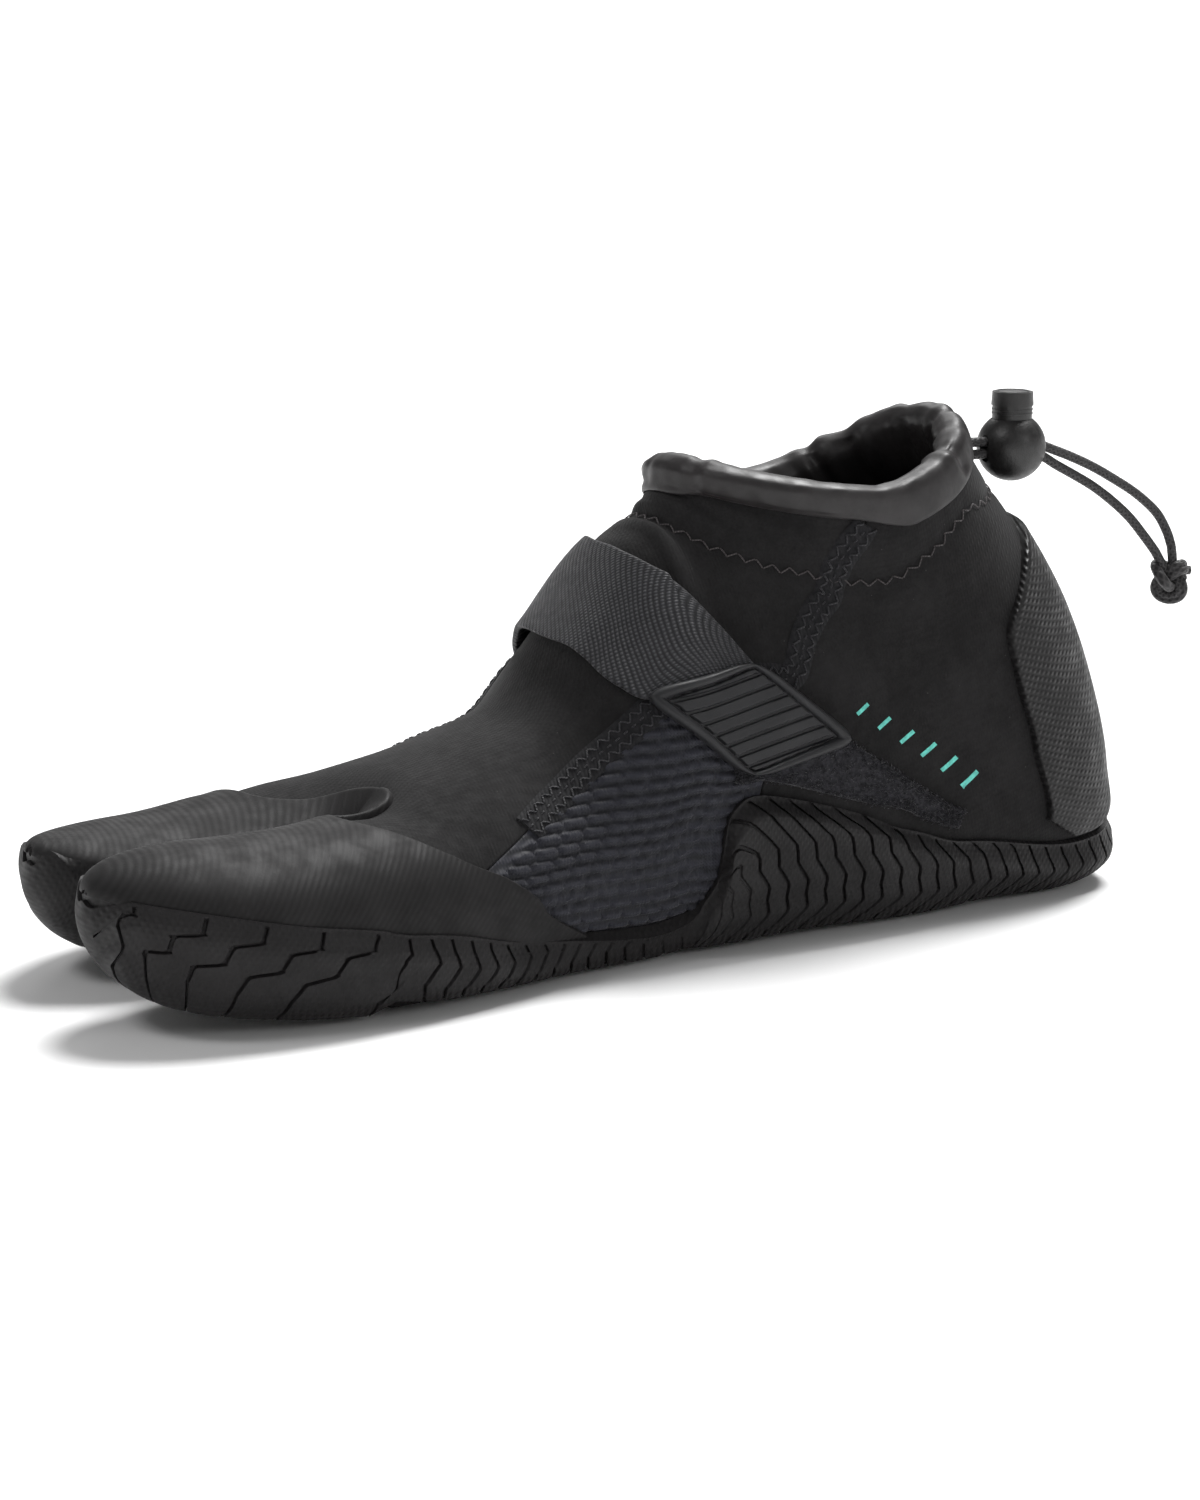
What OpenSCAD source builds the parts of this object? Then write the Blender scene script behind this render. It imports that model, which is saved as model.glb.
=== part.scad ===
// Split-toe neoprene reef boot, right foot, built up from its separate layers.
// Millimetres. Z is up, the toes point along -Y, the heel along +Y, +X is the inner side.
// Every soft layer follows one foot-shaped skin, described by stations from toe to cuff.

/* [Boot] */
// sub-part to draw on its own, or "all"
// neoprene sheet thickness
neoprene = 2; // [1.5:0.5:3]
// moulded toe and heel overlay thickness
overlay = 1.2; // [0.8:0.1:1.8]
// outsole thickness on the side wall
sidewall = 4.4; // [3.4:0.2:5.4]
// height the toes are turned up at the tips
toe_spring = 10; // [6:1:14]

/* [Strap] */
// webbing thickness
webbing = 1.6; // [1.2:0.1:2]
// pull tab thickness
tab_thickness = 2.4; // [1.8:0.2:3.2]

/* [Cord] */
// elastic cord diameter
cord_d = 2.4; // [2:0.1:2.6]
// sides of the cord tube
cord_sides = 8; // [6:1:8]

/* [Cord lock] */
// ball diameter
ball_d = 17; // [16:0.5:19]
// push button diameter
button_d = 10.4; // [10:0.2:11]
// button travel
button_travel = 1.5; // [1:0.1:1.5]

/* [Hidden] */

// The skin. Up to the ankle pivot the stations are upright planes, numbered by their Y.
// Behind it they fan out round the pivot, one degree for each whole number.
pivot_y = 8;
pivot_z = 108;
// station, inner x, outer x, side drop, crown x, crown drop, sole drop, upper and lower roundness
stations = [
    [-140, 45.0, -49.0,  87,  3.0, 78.0, 103.0, 2.1, 3.4],
    [-110, 46.5, -51.0,  87,  3.0, 73.0, 103.0, 2.1, 3.6],
    [ -80, 46.0, -52.0,  87,  3.5, 69.0, 103.0, 2.1, 3.6],
    [ -60, 44.5, -52.0,  87,  4.0, 65.5, 103.0, 2.1, 3.6],
    [ -40, 41.0, -50.0,  87,  4.0, 60.5, 103.0, 2.1, 3.5],
    [ -25, 38.5, -47.5,  86,  3.5, 55.0, 103.0, 2.1, 3.4],
    [ -14, 37.5, -46.0,  86,  3.5, 46.0, 103.0, 2.1, 3.4],
    [  -4, 36.5, -45.0,  86,  3.0, 31.0, 103.0, 2.1, 3.4],
    [   8, 35.5, -43.0,  84,  2.5, 14.0, 103.0, 2.1, 3.2],
    [  28, 34.5, -40.0,  88,  2.0, 10.5, 109.5, 2.1, 3.2],
    [  48, 34.0, -36.0, 102,  1.0, 10.0, 134.5, 2.1, 3.0],
    [  60, 33.5, -34.5, 110,  0.5, 10.0, 162.0, 2.1, 2.9],
    [  66, 32.5, -33.5, 100,  0.0, 10.0, 153.5, 2.1, 2.7],
    [  73, 31.0, -32.0,  84,  0.0, 10.0, 141.0, 2.1, 2.3],
    [  80, 30.5, -31.0,  70,  0.0, 10.0, 126.0, 2.0, 2.2],
    [  88, 30.0, -31.0,  56,  0.0, 10.0, 109.0, 2.0, 2.1],
    [  96, 30.0, -31.0,  50,  0.0, 10.0,  95.0, 2.0, 2.0],
    [ 105, 30.0, -31.0,  46,  0.0, 10.0,  87.0, 2.0, 2.0]];
// station, outer edge x, slot edge x, top drop of each toe pocket
big_toe = [[-140, 34, 10, 79], [-118, 42, 6, 76], [-100, 45.5, 4.5, 73], [-86, 46, 3.6, 70.6],
           [-80, 46, 2, 69.5], [-60, 44.5, 4, 65.5]];
small_toes = [[-134, -33, -9, 83.5], [-118, -41, -4, 82], [-100, -48, -1, 79],
              [-86, -51.5, 0.2, 75.5], [-80, -52, 2, 74], [-60, -52, 4, 67]];
big_toe_tip = [-136, -112];
small_toes_tip = [-131, -106];
crotch = -80;

// edges on the skin, each point a station and an angle: 90 crown, 0 side, -90 sole and back
lasting_edge = [[-77, -36], [-58, -37], [-40, -37], [-16, -40], [8, -42], [16, -44]];
lasting_heel = [[16, -44], [30, -47], [42, -49], [50, -52], [56, -58], [59, -70], [60.5, -90]];
front_seam = [[-79.4, -36], [-77, -33], [-70, -12], [-62, 5], [-52, 20], [-40, 31], [-28, 41],
              [-17, 45], [-6, 40], [6, 36], [18, 33], [30, 30], [38, 29]];
rear_seam = [[38, 29], [48, 35], [58, 38], [68, 34], [78, 25]];
quarter_front = [[16, -44], [17, -20], [20, 8], [28, 15], [34, 22]];
back_line = [[60.5, -90], [66, -90], [72, -90], [78, -90], [84, -90], [92.5, -90],
             [94.5, -81], [101.5, -81]];
foxing = [[-140, 4], [-100, 2], [-80, 0], [-60, -4], [-40, -18], [-25, -27], [-12, -32],
          [2, -32], [7.5, -24], [9.5, -8], [11.5, 4], [14, 8], [20, 9], [29, 6], [37, 2],
          [43, -4], [47, -14], [52, -23], [57, -36], [60, -46], [62, -60], [63.4, -78]];
foxing_far = [[-140, 4], [-100, 2], [-80, 0], [-60, -2], [-40, -4], [-12, -4], [8, -3],
              [29, 0], [37, -1], [43, -5], [47, -14], [52, -23], [57, -36], [60, -46],
              [62, -60], [63.4, -78]];
overlay_rear = [[0, -22], [8, -28], [14, -34], [22, -43], [28, -51], [34, -64], [40, -74],
                [46, -77.5], [54, -77.5], [62, -74], [70, -66], [78, -60], [88, -57.5],
                [98, -60], [106, -64], [116, -70], [128, -76], [140, -77.5], [156, -77.5],
                [168, -74], [180, -68]];
heel_edge = [[57, -20], [60.5, -6], [64, -4], [68, -4.5], [73, -10], [77, -19], [82, -34],
             [85.5, -48], [87.5, -62], [88.6, -78]];
strap_front = [[30, 176], [16, 170], [6, 158], [0, 146], [-4.5, 132], [-8, 118], [-10.5, 106],
               [-11.5, 96], [-11.2, 84], [-10.3, 74], [-9.2, 64], [-7.5, 54], [-4.5, 44], [-1, 39]];
strap_rear = [[48, 162], [37, 152], [28, 143], [21, 135], [14, 124], [8.5, 113], [5.5, 102],
              [4.5, 92], [4.5, 80], [6.2, 67], [9.5, 58], [15, 49.5], [22, 41], [27, 36]];
strap_split = 9;
tab_left = [[-2.6, 44.6], [1.6, 34], [6.8, 25], [13, 18.8], [18.8, 14]];
tab_right = [[28, 33.4], [31.6, 28.8], [35, 24], [37.8, 19.8], [40.2, 15.4]];
tab_top = [8.4, 35.6];
tab_foot = [29.8, 14.4];
loop_edge_low = [[15, 12], [22, 11.2], [30, 8], [38, 4], [44, 0], [48, -8]];
loop_edge_high = [[16.5, 24], [28, 25], [37, 21], [42, 14], [46, 6], [50, -4]];

// cord: free ends by round points, upper strand first, lower strand last
upper_strand = [[3, 168.2, 79.6], [2.6, 166.8, 83.5], [2, 163.6, 88.5], [2, 157, 93.6], [2, 150, 97.6],
                [2, 143, 101.2], [2, 136, 104.2], [2, 130, 106.4], [2, 126, 107.8], [2, 121, 109.1],
                [2, 117, 109.4], [2, 112, 109.5], [2, 105, 109.6], [1.6, 101, 109.6], [2.2, 97.2, 109.6]];
lower_strand = [[-2.2, 98.2, 106.4], [0.8, 101, 106.6], [2, 105, 106.6], [2, 112, 106.6],
                [2, 117, 106.6], [2, 121, 106.5], [2, 126, 105.3], [2, 131, 102.6], [2, 137, 99.6],
                [2, 143, 96.4], [2.2, 149, 92.4], [2.6, 154.6, 87.8], [3, 159.6, 82.4], [3, 163, 78.6]];
cord_drop = 6.2;
cord_inset = neoprene + 0.3 + cord_d / 2;
knot_centre = [3, 168, 71.2];
knot_size = 1.9;
knot_d = 2.6;

lock_centre = [2, 117, 108];
plunger_d = 9.8;
lock_floor = 2.4 - ball_d / 2;
sheet_gap = 0.3;
sole_gap = 0.7;
overlay_gap = 0.65;
sock_gap = 0.9;
pocket_gap = 0.9;
lining = 1.2;

function span(t, s, i = 0) = (i >= len(t) - 2 || s < t[i + 1][0]) ? i : span(t, s, i + 1);
function slope(t, i) = let (a = max(0, i - 1), b = min(len(t) - 1, i + 1))
    (t[b] - t[a]) / (t[b][0] - t[a][0]);
// smooth curve through the rows of a table, looked up by the first column
function smooth(t, s) =
    let (i = span(t, s), h = t[i + 1][0] - t[i][0], q = (s - t[i][0]) / h, p = 1 - q)
    t[i] * (1 + 2 * q) * p * p + slope(t, i) * h * q * p * p
    + t[i + 1] * q * q * (3 - 2 * q) - slope(t, i + 1) * h * q * q * p;
// straight lines through the rows of a table
function linear(t, s) =
    let (i = span(t, s), q = (s - t[i][0]) / (t[i + 1][0] - t[i][0]))
    (t[i] + (t[i + 1] - t[i]) * min(1, max(0, q)))[1];
function ease(a, b, x) = let (t = min(1, max(0, (x - a) / (b - a)))) t * t * (3 - 2 * t);
function bulge(v, n) = sign(v) * pow(abs(v), 2 / n);
function ground(y) = y > -70 ? 0 : toe_spring * pow((-70 - y) / 66, 1.7);

function whole_section(p, out, b) =
    [p[4] + (out - p[4]) * bulge(cos(b), b >= 0 ? p[7] : p[8]),
     b >= 0 ? p[3] - (p[3] - p[5]) * bulge(sin(b), p[7])
            : p[3] + (p[6] - p[3]) * bulge(-sin(b), p[8])];
function toe_section(p, t, tip, s, b) =
    let (q = min(1, max(0, (s - tip[1]) / (tip[0] - tip[1]))),
         w = pow(1 - pow(q, 2.2), 0.4545), h = sqrt(1 - q * q), n = b >= 0 ? 2.1 : 3)
    [(t[1] + t[2]) / 2 + w * (t[1] - t[2]) / 2 * bulge(cos(2 * b), n),
     b >= 0 ? p[3] - (p[3] - t[3]) * h * bulge(abs(sin(2 * b)), n)
            : p[3] + (p[6] - p[3]) * h * bulge(abs(sin(2 * b)), n)];
// a point of the skin: station s, angle a from -90 under the foot, over the crown at 90, to 270
function skin(s, a) =
    let (g = a < -90 ? a + 360 : a, near = g <= 90, b = near ? g : 180 - g,
         p = smooth(stations, s),
         w = whole_section(p, near ? p[1] : p[2], b),
         k = s > -52 ? 0 : b >= 0 ? ease(-52, crotch, s) : ease(-76.5, crotch, s),
         t = k == 0 ? w : toe_section(p, smooth(near ? big_toe : small_toes, s),
                                      near ? big_toe_tip : small_toes_tip, s, b),
         x = w[0] * (1 - k) + t[0] * k,
         r = w[1] * (1 - k) + t[1] * k - ground(s),
         f = max(0, s - pivot_y))
    [x, min(s, pivot_y) + r * sin(f), pivot_z - r * cos(f)];
function outward(s, a) =
    let (h = min(0.5, max(0.05, (s + 136) / 3)),
         n = cross(skin(s + h, a) - skin(s - h, a), skin(s, a + 0.5) - skin(s, a - 0.5)))
    n / max(norm(n), 1e-9);
function layer(s, a, off) = skin(s, a) + off * outward(s, a);

// cuff edge, highest at the back
function side_of(a) = a <= 90 ? a : 180 - a;
function cuff(a) = let (b = side_of(a < -90 ? a + 360 : a))
    pivot_y + 80 - 3 * max(0, sin(b)) + 15 * pow(max(0, -sin(b)), 1.1)
    + ((a > 90 || a < -90) ? 2 * cos(b) : 0);
function panel_top(a) = cuff(a) - 0.9;
function reach(a) = let (p = skin(cuff(a), a)) norm([p[1] - pivot_y, p[2] - pivot_z]);
// station a given length below the cuff edge
function below_cuff(a, d) =
    let (r = reach(a) / 57.3, s = cuff(a) - d / r)
    s >= pivot_y ? s : pivot_y - (d - (cuff(a) - pivot_y) * r) / 1.6;

function flip(t, yes) = yes ? [for (f = t) [f[0], f[2], f[1]]] : t;
function cells(m, n, at) =
    [for (i = [0:m - 2], j = [0:n - 2])
        each [[at(i, j), at(i, j + 1), at(i + 1, j)],
              [at(i, j + 1), at(i + 1, j + 1), at(i + 1, j)]]];
function wall(a, b, k) = [[a, b, b + k], [a, b + k, a + k]];
// faces of a closed slab: outer grid first, inner grid k points later
function slab_faces(m, n, k, at, wrap = false, low = true, high = true, sides = [true, true]) =
    let (o = cells(m, wrap ? n + 1 : n, at))
    concat(o, [for (f = o) [f[0] + k, f[2] + k, f[1] + k]],
        low ? [for (j = [0:(wrap ? n - 1 : n - 2)]) each wall(at(0, j + 1), at(0, j), k)] : [],
        high ? [for (j = [0:(wrap ? n - 1 : n - 2)]) each wall(at(m - 1, j), at(m - 1, j + 1), k)] : [],
        (wrap || !sides[0]) ? [] : [for (i = [0:m - 2]) each wall(at(i, 0), at(i + 1, 0), k)],
        (wrap || !sides[1]) ? [] : [for (i = [0:m - 2]) each wall(at(i + 1, n - 1), at(i, n - 1), k)]);

function along(p, t) = let (n = len(p) - 1, q = min(n - 1, floor(t * n)), f = t * n - q)
    p[q] + f * (p[q + 1] - p[q]);
// patch between four edges: c0 and c1 run with u, d0 and d1 with v
function patch(c0, c1, d0, d1, u, v) =
    (1 - v) * along(c0, u) + v * along(c1, u) + (1 - u) * along(d0, v) + u * along(d1, v)
    - (1 - u) * (1 - v) * c0[0] - u * (1 - v) * c0[len(c0) - 1]
    - (1 - u) * v * c1[0] - u * v * c1[len(c1) - 1];
function mirrored(p) = [for (q = p) [q[0], 180 - q[1]]];
function reversed(p) = [for (i = [len(p) - 1:-1:0]) p[i]];

// sheet on the skin between four edges, from lo to hi off the skin, trimmed back at its edges
module sheet(c0, c1, d0, d1, m, n, lo, hi, trim = [0.004, 0.004], turned = false) {
    grid = [for (i = [0:m - 1], j = [0:n - 1])
        patch(c0, c1, d0, d1, trim[0] + (1 - 2 * trim[0]) * i / (m - 1),
              trim[1] + (1 - 2 * trim[1]) * j / (n - 1))];
    polyhedron(
        points = concat([for (q = grid) layer(q[0], q[1], hi)], [for (q = grid) layer(q[0], q[1], lo)]),
        faces = flip(slab_faces(m, n, m * n, function(i, j) i * n + j), turned),
        convexity = 8);
}

// closed ribbon lying on the skin along a line of stations and angles
module ribbon(line, width, lo, hi, steps) {
    q = [for (i = [0:steps]) along(line, i / steps)];
    c = [for (p = q) skin(p[0], p[1])];
    up = [for (p = q) outward(p[0], p[1])];
    pts = [for (i = [0:steps])
        let (t = c[min(steps, i + 1)] - c[max(0, i - 1)], s = cross(up[i], t / norm(t)) * width / 2)
        each [c[i] + s + up[i] * lo, c[i] - s + up[i] * lo,
              c[i] - s * 0.8 + up[i] * hi, c[i] + s * 0.8 + up[i] * hi]];
    polyhedron(points = pts, faces = tube_faces(steps + 1, 4), convexity = 6);
}
function tube_faces(m, n) =
    concat([for (i = [0:m - 2], j = [0:n - 1]) let (a = i * n + j, b = i * n + (j + 1) % n)
                each [[a, a + n, b], [b, a + n, b + n]]],
           [[for (j = [0:n - 1]) j]], [[for (j = [n - 1:-1:0]) (m - 1) * n + j]]);

// round tube along a list of points
function turn_on(f, d) = let (v = f - (f * d) * d) v / norm(v);
function frames(p, i = 0, f = [0, 0, 1], out = []) =
    i >= len(p) ? out :
    let (t = p[min(len(p) - 1, i + 1)] - p[max(0, i - 1)], d = t / norm(t), v = turn_on(f, d))
    frames(p, i + 1, v, concat(out, [[d, v, cross(d, v)]]));
module tube(p, d, sides, start = [0, 0, 1], closed = false) {
    f = frames(p, 0, start);
    pts = [for (i = [0:len(p) - 1], j = [0:sides - 1])
        p[i] + (cos(360 * j / sides) * f[i][1] + sin(360 * j / sides) * f[i][2]) * d / 2];
    polyhedron(points = pts, faces = flip3(tube_faces(len(p), sides)), convexity = 10);
}
function flip3(t) = [for (f = t) [for (i = [len(f) - 1:-1:0]) f[i]]];

// outer face of the outsole, pressed flat where it meets the ground
function sole_depth(s, a, down) =
    let (b = side_of(a < -90 ? a + 360 : a), fx = linear(a < -90 || a > 90 ? foxing_far : foxing, s),
         edge = ease(0, 16, fx - b + 2) * ease(-1, 3, 64 - s), toes = ease(-72, -84, s),
         slot = toes * ease(48, 70, -b),
         flap = ease(10, 16, s) * (1 - ease(36, 46, s)) * ease(-22, 4, b))
    (1.5 + (sidewall - 1.5) * edge) * (1 - slot) * (1 - 0.45 * flap) + 1.2 * slot
    + 2.4 * ease(0.35, 0.85, down) * (1 - slot);
function sole_face(s, a) =
    let (n = outward(s, a), p = skin(s, a) + n * sole_depth(s, a, -n[2]))
    [p[0], p[1], max(p[2], ground(p[1]))];

sole_rows = [-80, -78.6, -77, -74, -68, -60, -52, -44, -36, -28, -20, -12, -5, 1, 5, 7.5, 9, 10.5,
             12, 15, 20, 26, 32, 38, 43, 48, 52.5, 56, 58.4, 60.4, 62, 63.4];
big_rows = [-82, -86, -92, -99, -106, -113, -119, -124.5, -129, -132.4, -134.6, -135.9];
small_rows = [-82, -86, -92, -98, -104, -110, -115.5, -120.5, -125, -128.2, -130, -130.9];
sole_half = 11;
overlay_half = 13;
overlay_steps = 6;

// shell with a fork: one wide grid whose first row carries two toe grids
function fork_faces(m, n, big, small) =
    let (c = n - 1, w = 2 * c + 1, k = m * w + (big + small) * n)
    concat(
        flip(slab_faces(m, w, k, function(i, j) i * w + j, low = false), true),
        slab_faces(big + 1, n, k, function(i, j) i == 0 ? j : m * w + (i - 1) * n + j, low = false),
        slab_faces(small + 1, n, k,
                   function(i, j) i == 0 ? c + j : m * w + (big + i - 1) * n + j, low = false));

module outsole() {
    n = sole_half + 1;
    near = function(s, q) let (f = linear(foxing, s)) f + (-90 - f) * q;
    far = function(s, q) -90 + (-90 - linear(foxing_far, s)) * q;
    grid = concat(
        [for (s = sole_rows, j = [0:2 * sole_half])
            [s, j <= sole_half ? near(s, j / sole_half) : far(s, j / sole_half - 1)]],
        [for (s = big_rows, j = [0:sole_half]) [s, near(s, 0.99 * j / sole_half)]],
        [for (s = small_rows, j = [0:sole_half]) [s, far(s, 0.01 + 0.99 * j / sole_half)]]);
    color([0.16, 0.15, 0.155])
        polyhedron(
            points = concat([for (q = grid) sole_face(q[0], q[1])],
                            [for (q = grid) layer(q[0], q[1], sole_gap)]),
            faces = fork_faces(len(sole_rows), n, len(big_rows), len(small_rows)),
            convexity = 12);
}

module toe_overlay() {
    n = overlay_half + 1;
    low = function(s) linear(foxing, s) + 1.8;
    high = function(s) 180 - linear(foxing_far, s) - 1.8;
    mid = function(s, q) low(s) + (high(s) - low(s)) * q;
    row = function(i, q) crotch + (linear(overlay_rear, 180 * q) - crotch) * i / overlay_steps;
    grid = concat(
        [for (i = [0:overlay_steps], j = [0:2 * overlay_half])
            let (q = j / (2 * overlay_half), s = row(i, q))
            [s, j < overlay_half ? low(s) + (90 - low(s)) * 2 * q
                                 : 90 + (high(s) - 90) * (2 * q - 1)]],
        [for (s = big_rows, j = [0:overlay_half]) [s, low(s) + (88.6 - low(s)) * j / overlay_half]],
        [for (s = small_rows, j = [0:overlay_half])
            [s, 91.4 + (high(s) - 91.4) * j / overlay_half]]);
    color([0.22, 0.21, 0.215])
        polyhedron(
            points = concat([for (q = grid) layer(q[0], q[1], overlay_gap + overlay)],
                            [for (q = grid) layer(q[0], q[1], overlay_gap)]),
            faces = flip(fork_faces(overlay_steps + 1, n, len(big_rows), len(small_rows)), true),
            convexity = 12);
}

// closed pocket round one group of toes, open at the crotch
module pocket(rows, from) {
    n = 20;
    grid = [for (s = concat([-81.75], rows), j = [0:n - 1]) [s, from + 180 * (j + 0.5) / n]];
    m = len(rows) + 1;
    k = m * n;
    rim = slab_faces(m, n, k, function(i, j) i * n + j % n, wrap = true, high = false);
    polyhedron(
        points = concat([for (q = grid) layer(q[0], q[1], -pocket_gap)],
                        [for (q = grid) layer(q[0], q[1], -pocket_gap - neoprene)]),
        faces = concat(flip(rim, true),
            [[for (j = [n - 1:-1:0]) (m - 1) * n + j]], [[for (j = [0:n - 1]) k + (m - 1) * n + j]]),
        convexity = 8);
}
module big_toe_pocket() {
    color([0.12, 0.115, 0.12]) pocket([for (s = big_rows) max(s, -133)], -90);
}
module small_toes_pocket() {
    color([0.12, 0.115, 0.12]) pocket([for (s = small_rows) max(s, -128)], 90);
}

module footbed() {
    edge = [[-76, -50], [-40, -48], [8, -54], [30, -60], [44, -63], [52, -68], [56, -76]];
    far = [for (q = edge) [q[0], -180 - q[1]]];
    color([0.2, 0.2, 0.22])
        sheet(edge, far, [[-76, -50], [-76, -130]], [[56, -76], [56, -104]], 18, 9,
              -neoprene - sock_gap - sheet_gap - 1.6, -neoprene - sock_gap - sheet_gap, turned = true);
}

module bottom_sock() {
    edge = concat(lasting_edge, [for (i = [1:len(lasting_heel) - 2]) lasting_heel[i]], [[60, -84]]);
    far = [for (q = edge) [q[0], -180 - q[1]]];
    color([0.17, 0.17, 0.18])
        sheet(edge, far, [edge[0], far[0]], [[60, -84], [60, -96]], 22, 14, -neoprene - sock_gap, -sock_gap,
              trim = [0.003, 0.022], turned = true);
}

module vamp_panel() {
    near = concat(front_seam, rear_seam, [[panel_top(12), 12]]);
    n = 24;
    color([0.11, 0.105, 0.11])
        sheet(near, mirrored(near),
              [[-79.4, -36], [-79.4, 216]], [for (i = [0:n]) let (a = 12 + 156 * i / n) [panel_top(a), a]],
              34, 23, -neoprene, 0, trim = [0.002, 0.004]);
}

module side_panel(far = false) {
    low = concat([[-76, -38]], [for (q = lasting_edge) if (q[0] > -70) q]);
    top = concat([[-76, -30]], [for (q = front_seam) if (q[0] > -72) q]);
    back = concat(quarter_front, [[38, 29]]);
    color([0.1, 0.1, 0.13])
        sheet(far ? mirrored(low) : low, far ? mirrored(top) : top,
              far ? mirrored([low[0], top[0]]) : [low[0], top[0]],
              far ? mirrored(back) : back, 22, 8, -neoprene, 0, trim = [0.006, 0.02], turned = far);
}
module side_panel_near() {
    side_panel();
}
module side_panel_far() {
    side_panel(far = true);
}

module quarter(far = false) {
    n = 12;
    front = concat(quarter_front, rear_seam, [[panel_top(12), 12]]);
    back = concat(back_line, [[panel_top(-90), -86]]);
    rim = [for (i = [0:n]) let (a = 12 - 98 * i / n) [panel_top(a), a]];
    c0 = lasting_heel;
    c1 = concat([for (i = [0:n - 1]) rim[i]], [back[len(back) - 1]]);
    color([0.115, 0.11, 0.115])
        sheet(far ? mirrored(c0) : c0, far ? mirrored(c1) : c1, far ? mirrored(front) : front,
              far ? mirrored(back) : back, 15, 19, -neoprene, 0, trim = [0.006, 0.004],
              turned = far);
}
module quarter_near() {
    quarter();
}
module quarter_far() {
    quarter(far = true);
}

module heel_overlay() {
    low = [[58, -34], [61.2, -44], [63.6, -57], [65.2, -76], [65.6, -90]];
    high = concat(heel_edge, [[89, -90]]);
    all_low = concat(low, [for (q = reversed(low)) if (q[1] > -90) [q[0], -180 - q[1]]]);
    all_high = concat(high, [for (q = reversed(high)) if (q[1] > -90) [q[0], -180 - q[1]]]);
    color([0.2, 0.19, 0.2])
        sheet(all_low, all_high, [low[0], high[0]],
              [all_low[len(all_low) - 1], all_high[len(all_high) - 1]],
              23, 9, sheet_gap + 0.7, sheet_gap + 0.7 + overlay, trim = [0.002, 0.004], turned = true);
}

// how much higher than its mean the lining's roll stands above the cuff edge
function roll_rise(a) = -0.4 + 1.8 * cos(a) + 1.7 * pow(max(0, sin(a)), 2) + 0.8 * pow(max(0, -sin(a)), 2);
module cuff_lining() {
    // distance below the cuff edge, distance off the skin, share of the rise
    turn = [[4.2, 0.8, 1], [4.2, 1.7, 1], [1.5, 1.8, 1], [-1.6, 1.6, 1], [-3.3, 0.4, 1], [-4, -1.8, 1],
            [-3.5, -4.2, 1], [-1.8, -5.9, 1], [2, -6.5, 0], [8, -6.5, 0], [11.5, -6, 0],
            [14.5, -4.6, 0], [26, -4.5, 0], [26, -3.4, 0], [14, -3.4, 0], [11, -5.1, 0], [3, -5.2, 0],
            [-1.4, -4.9, 1], [-2.5, -3.5, 1], [-2.8, -1.7, 1], [-2.1, -0.1, 1], [-0.9, 0.75, 1]];
    n = 52;
    w = len(turn);
    pts = [for (i = [0:n - 1], q = turn)
        let (a = -90 + 360 * i / n, d = q[0] - q[2] * roll_rise(a))
        layer(d < 0 ? cuff(a) - d * 57.3 / reach(a) : below_cuff(a, d), a, q[1])];
    faces = [for (i = [0:n - 1], j = [0:w - 1])
        let (a = i * w + j, b = i * w + (j + 1) % w, c = ((i + 1) % n) * w + j,
             d = ((i + 1) % n) * w + (j + 1) % w)
        each [[a, c, b], [b, c, d]]];
    color([0.29, 0.275, 0.275]) polyhedron(points = pts, faces = faces, convexity = 8);
}

module cuff_stitching() {
    near = [[94, -86], [92.8, -60], [90.5, -29], [86, -13], [79.5, 5], [73, 18], [68, 31], [63, 44],
            [54, 55], [44, 64], [33, 76]];
    line = concat(near, [[26, 90]], reversed(mirrored(near)));
    color([0.07, 0.07, 0.07]) ribbon(line, 1.8, 0.45, 0.9, 60);
}

function seam_line() = concat([[-38, 32.8]], [for (q = front_seam) if (q[0] > -30) q],
                              [[48, 35], [56, 37.6], [61, 36.8]]);
module flatlock_seam_near() {
    color([0.08, 0.08, 0.08]) ribbon(seam_line(), 7, 0.45, 1, 26);
}
module flatlock_seam_far() {
    color([0.08, 0.08, 0.08]) ribbon(mirrored(seam_line()), 7, 0.45, 1, 26);
}
module back_seam_tape() {
    color([0.08, 0.08, 0.08]) ribbon([[67, -90], [74, -90], [81, -90], [91, -90]], 6, 0.3, 0.6, 10);
}

module cord_guide() {
    color([0.09, 0.09, 0.09])
        difference() {
            translate([0, 99.6, 108.3])
                rotate([-56, 0, 0])
                    linear_extrude(3.4, center = true)
                        offset(1.5, $fn = 32) square([5, 6.4], center = true);
            for (q = [[1.4, 109.6], [1.2, 106.5]])
                translate([q[0], 90, q[1]])
                    rotate([-90, 0, 0]) cylinder(d = cord_d + 0.5, h = 20, $fn = 32);
        }
}

function tunnel(a) = layer(below_cuff(a, cord_drop), a, -cord_inset);
module elastic_cord() {
    loop = [for (i = [0:42]) tunnel(-72 + 324 * i / 42)];
    color([0.13, 0.13, 0.14]) tube(concat(upper_strand, loop, lower_strand), cord_d, cord_sides,
                                   start = [1, 0, 0]);
}

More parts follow.
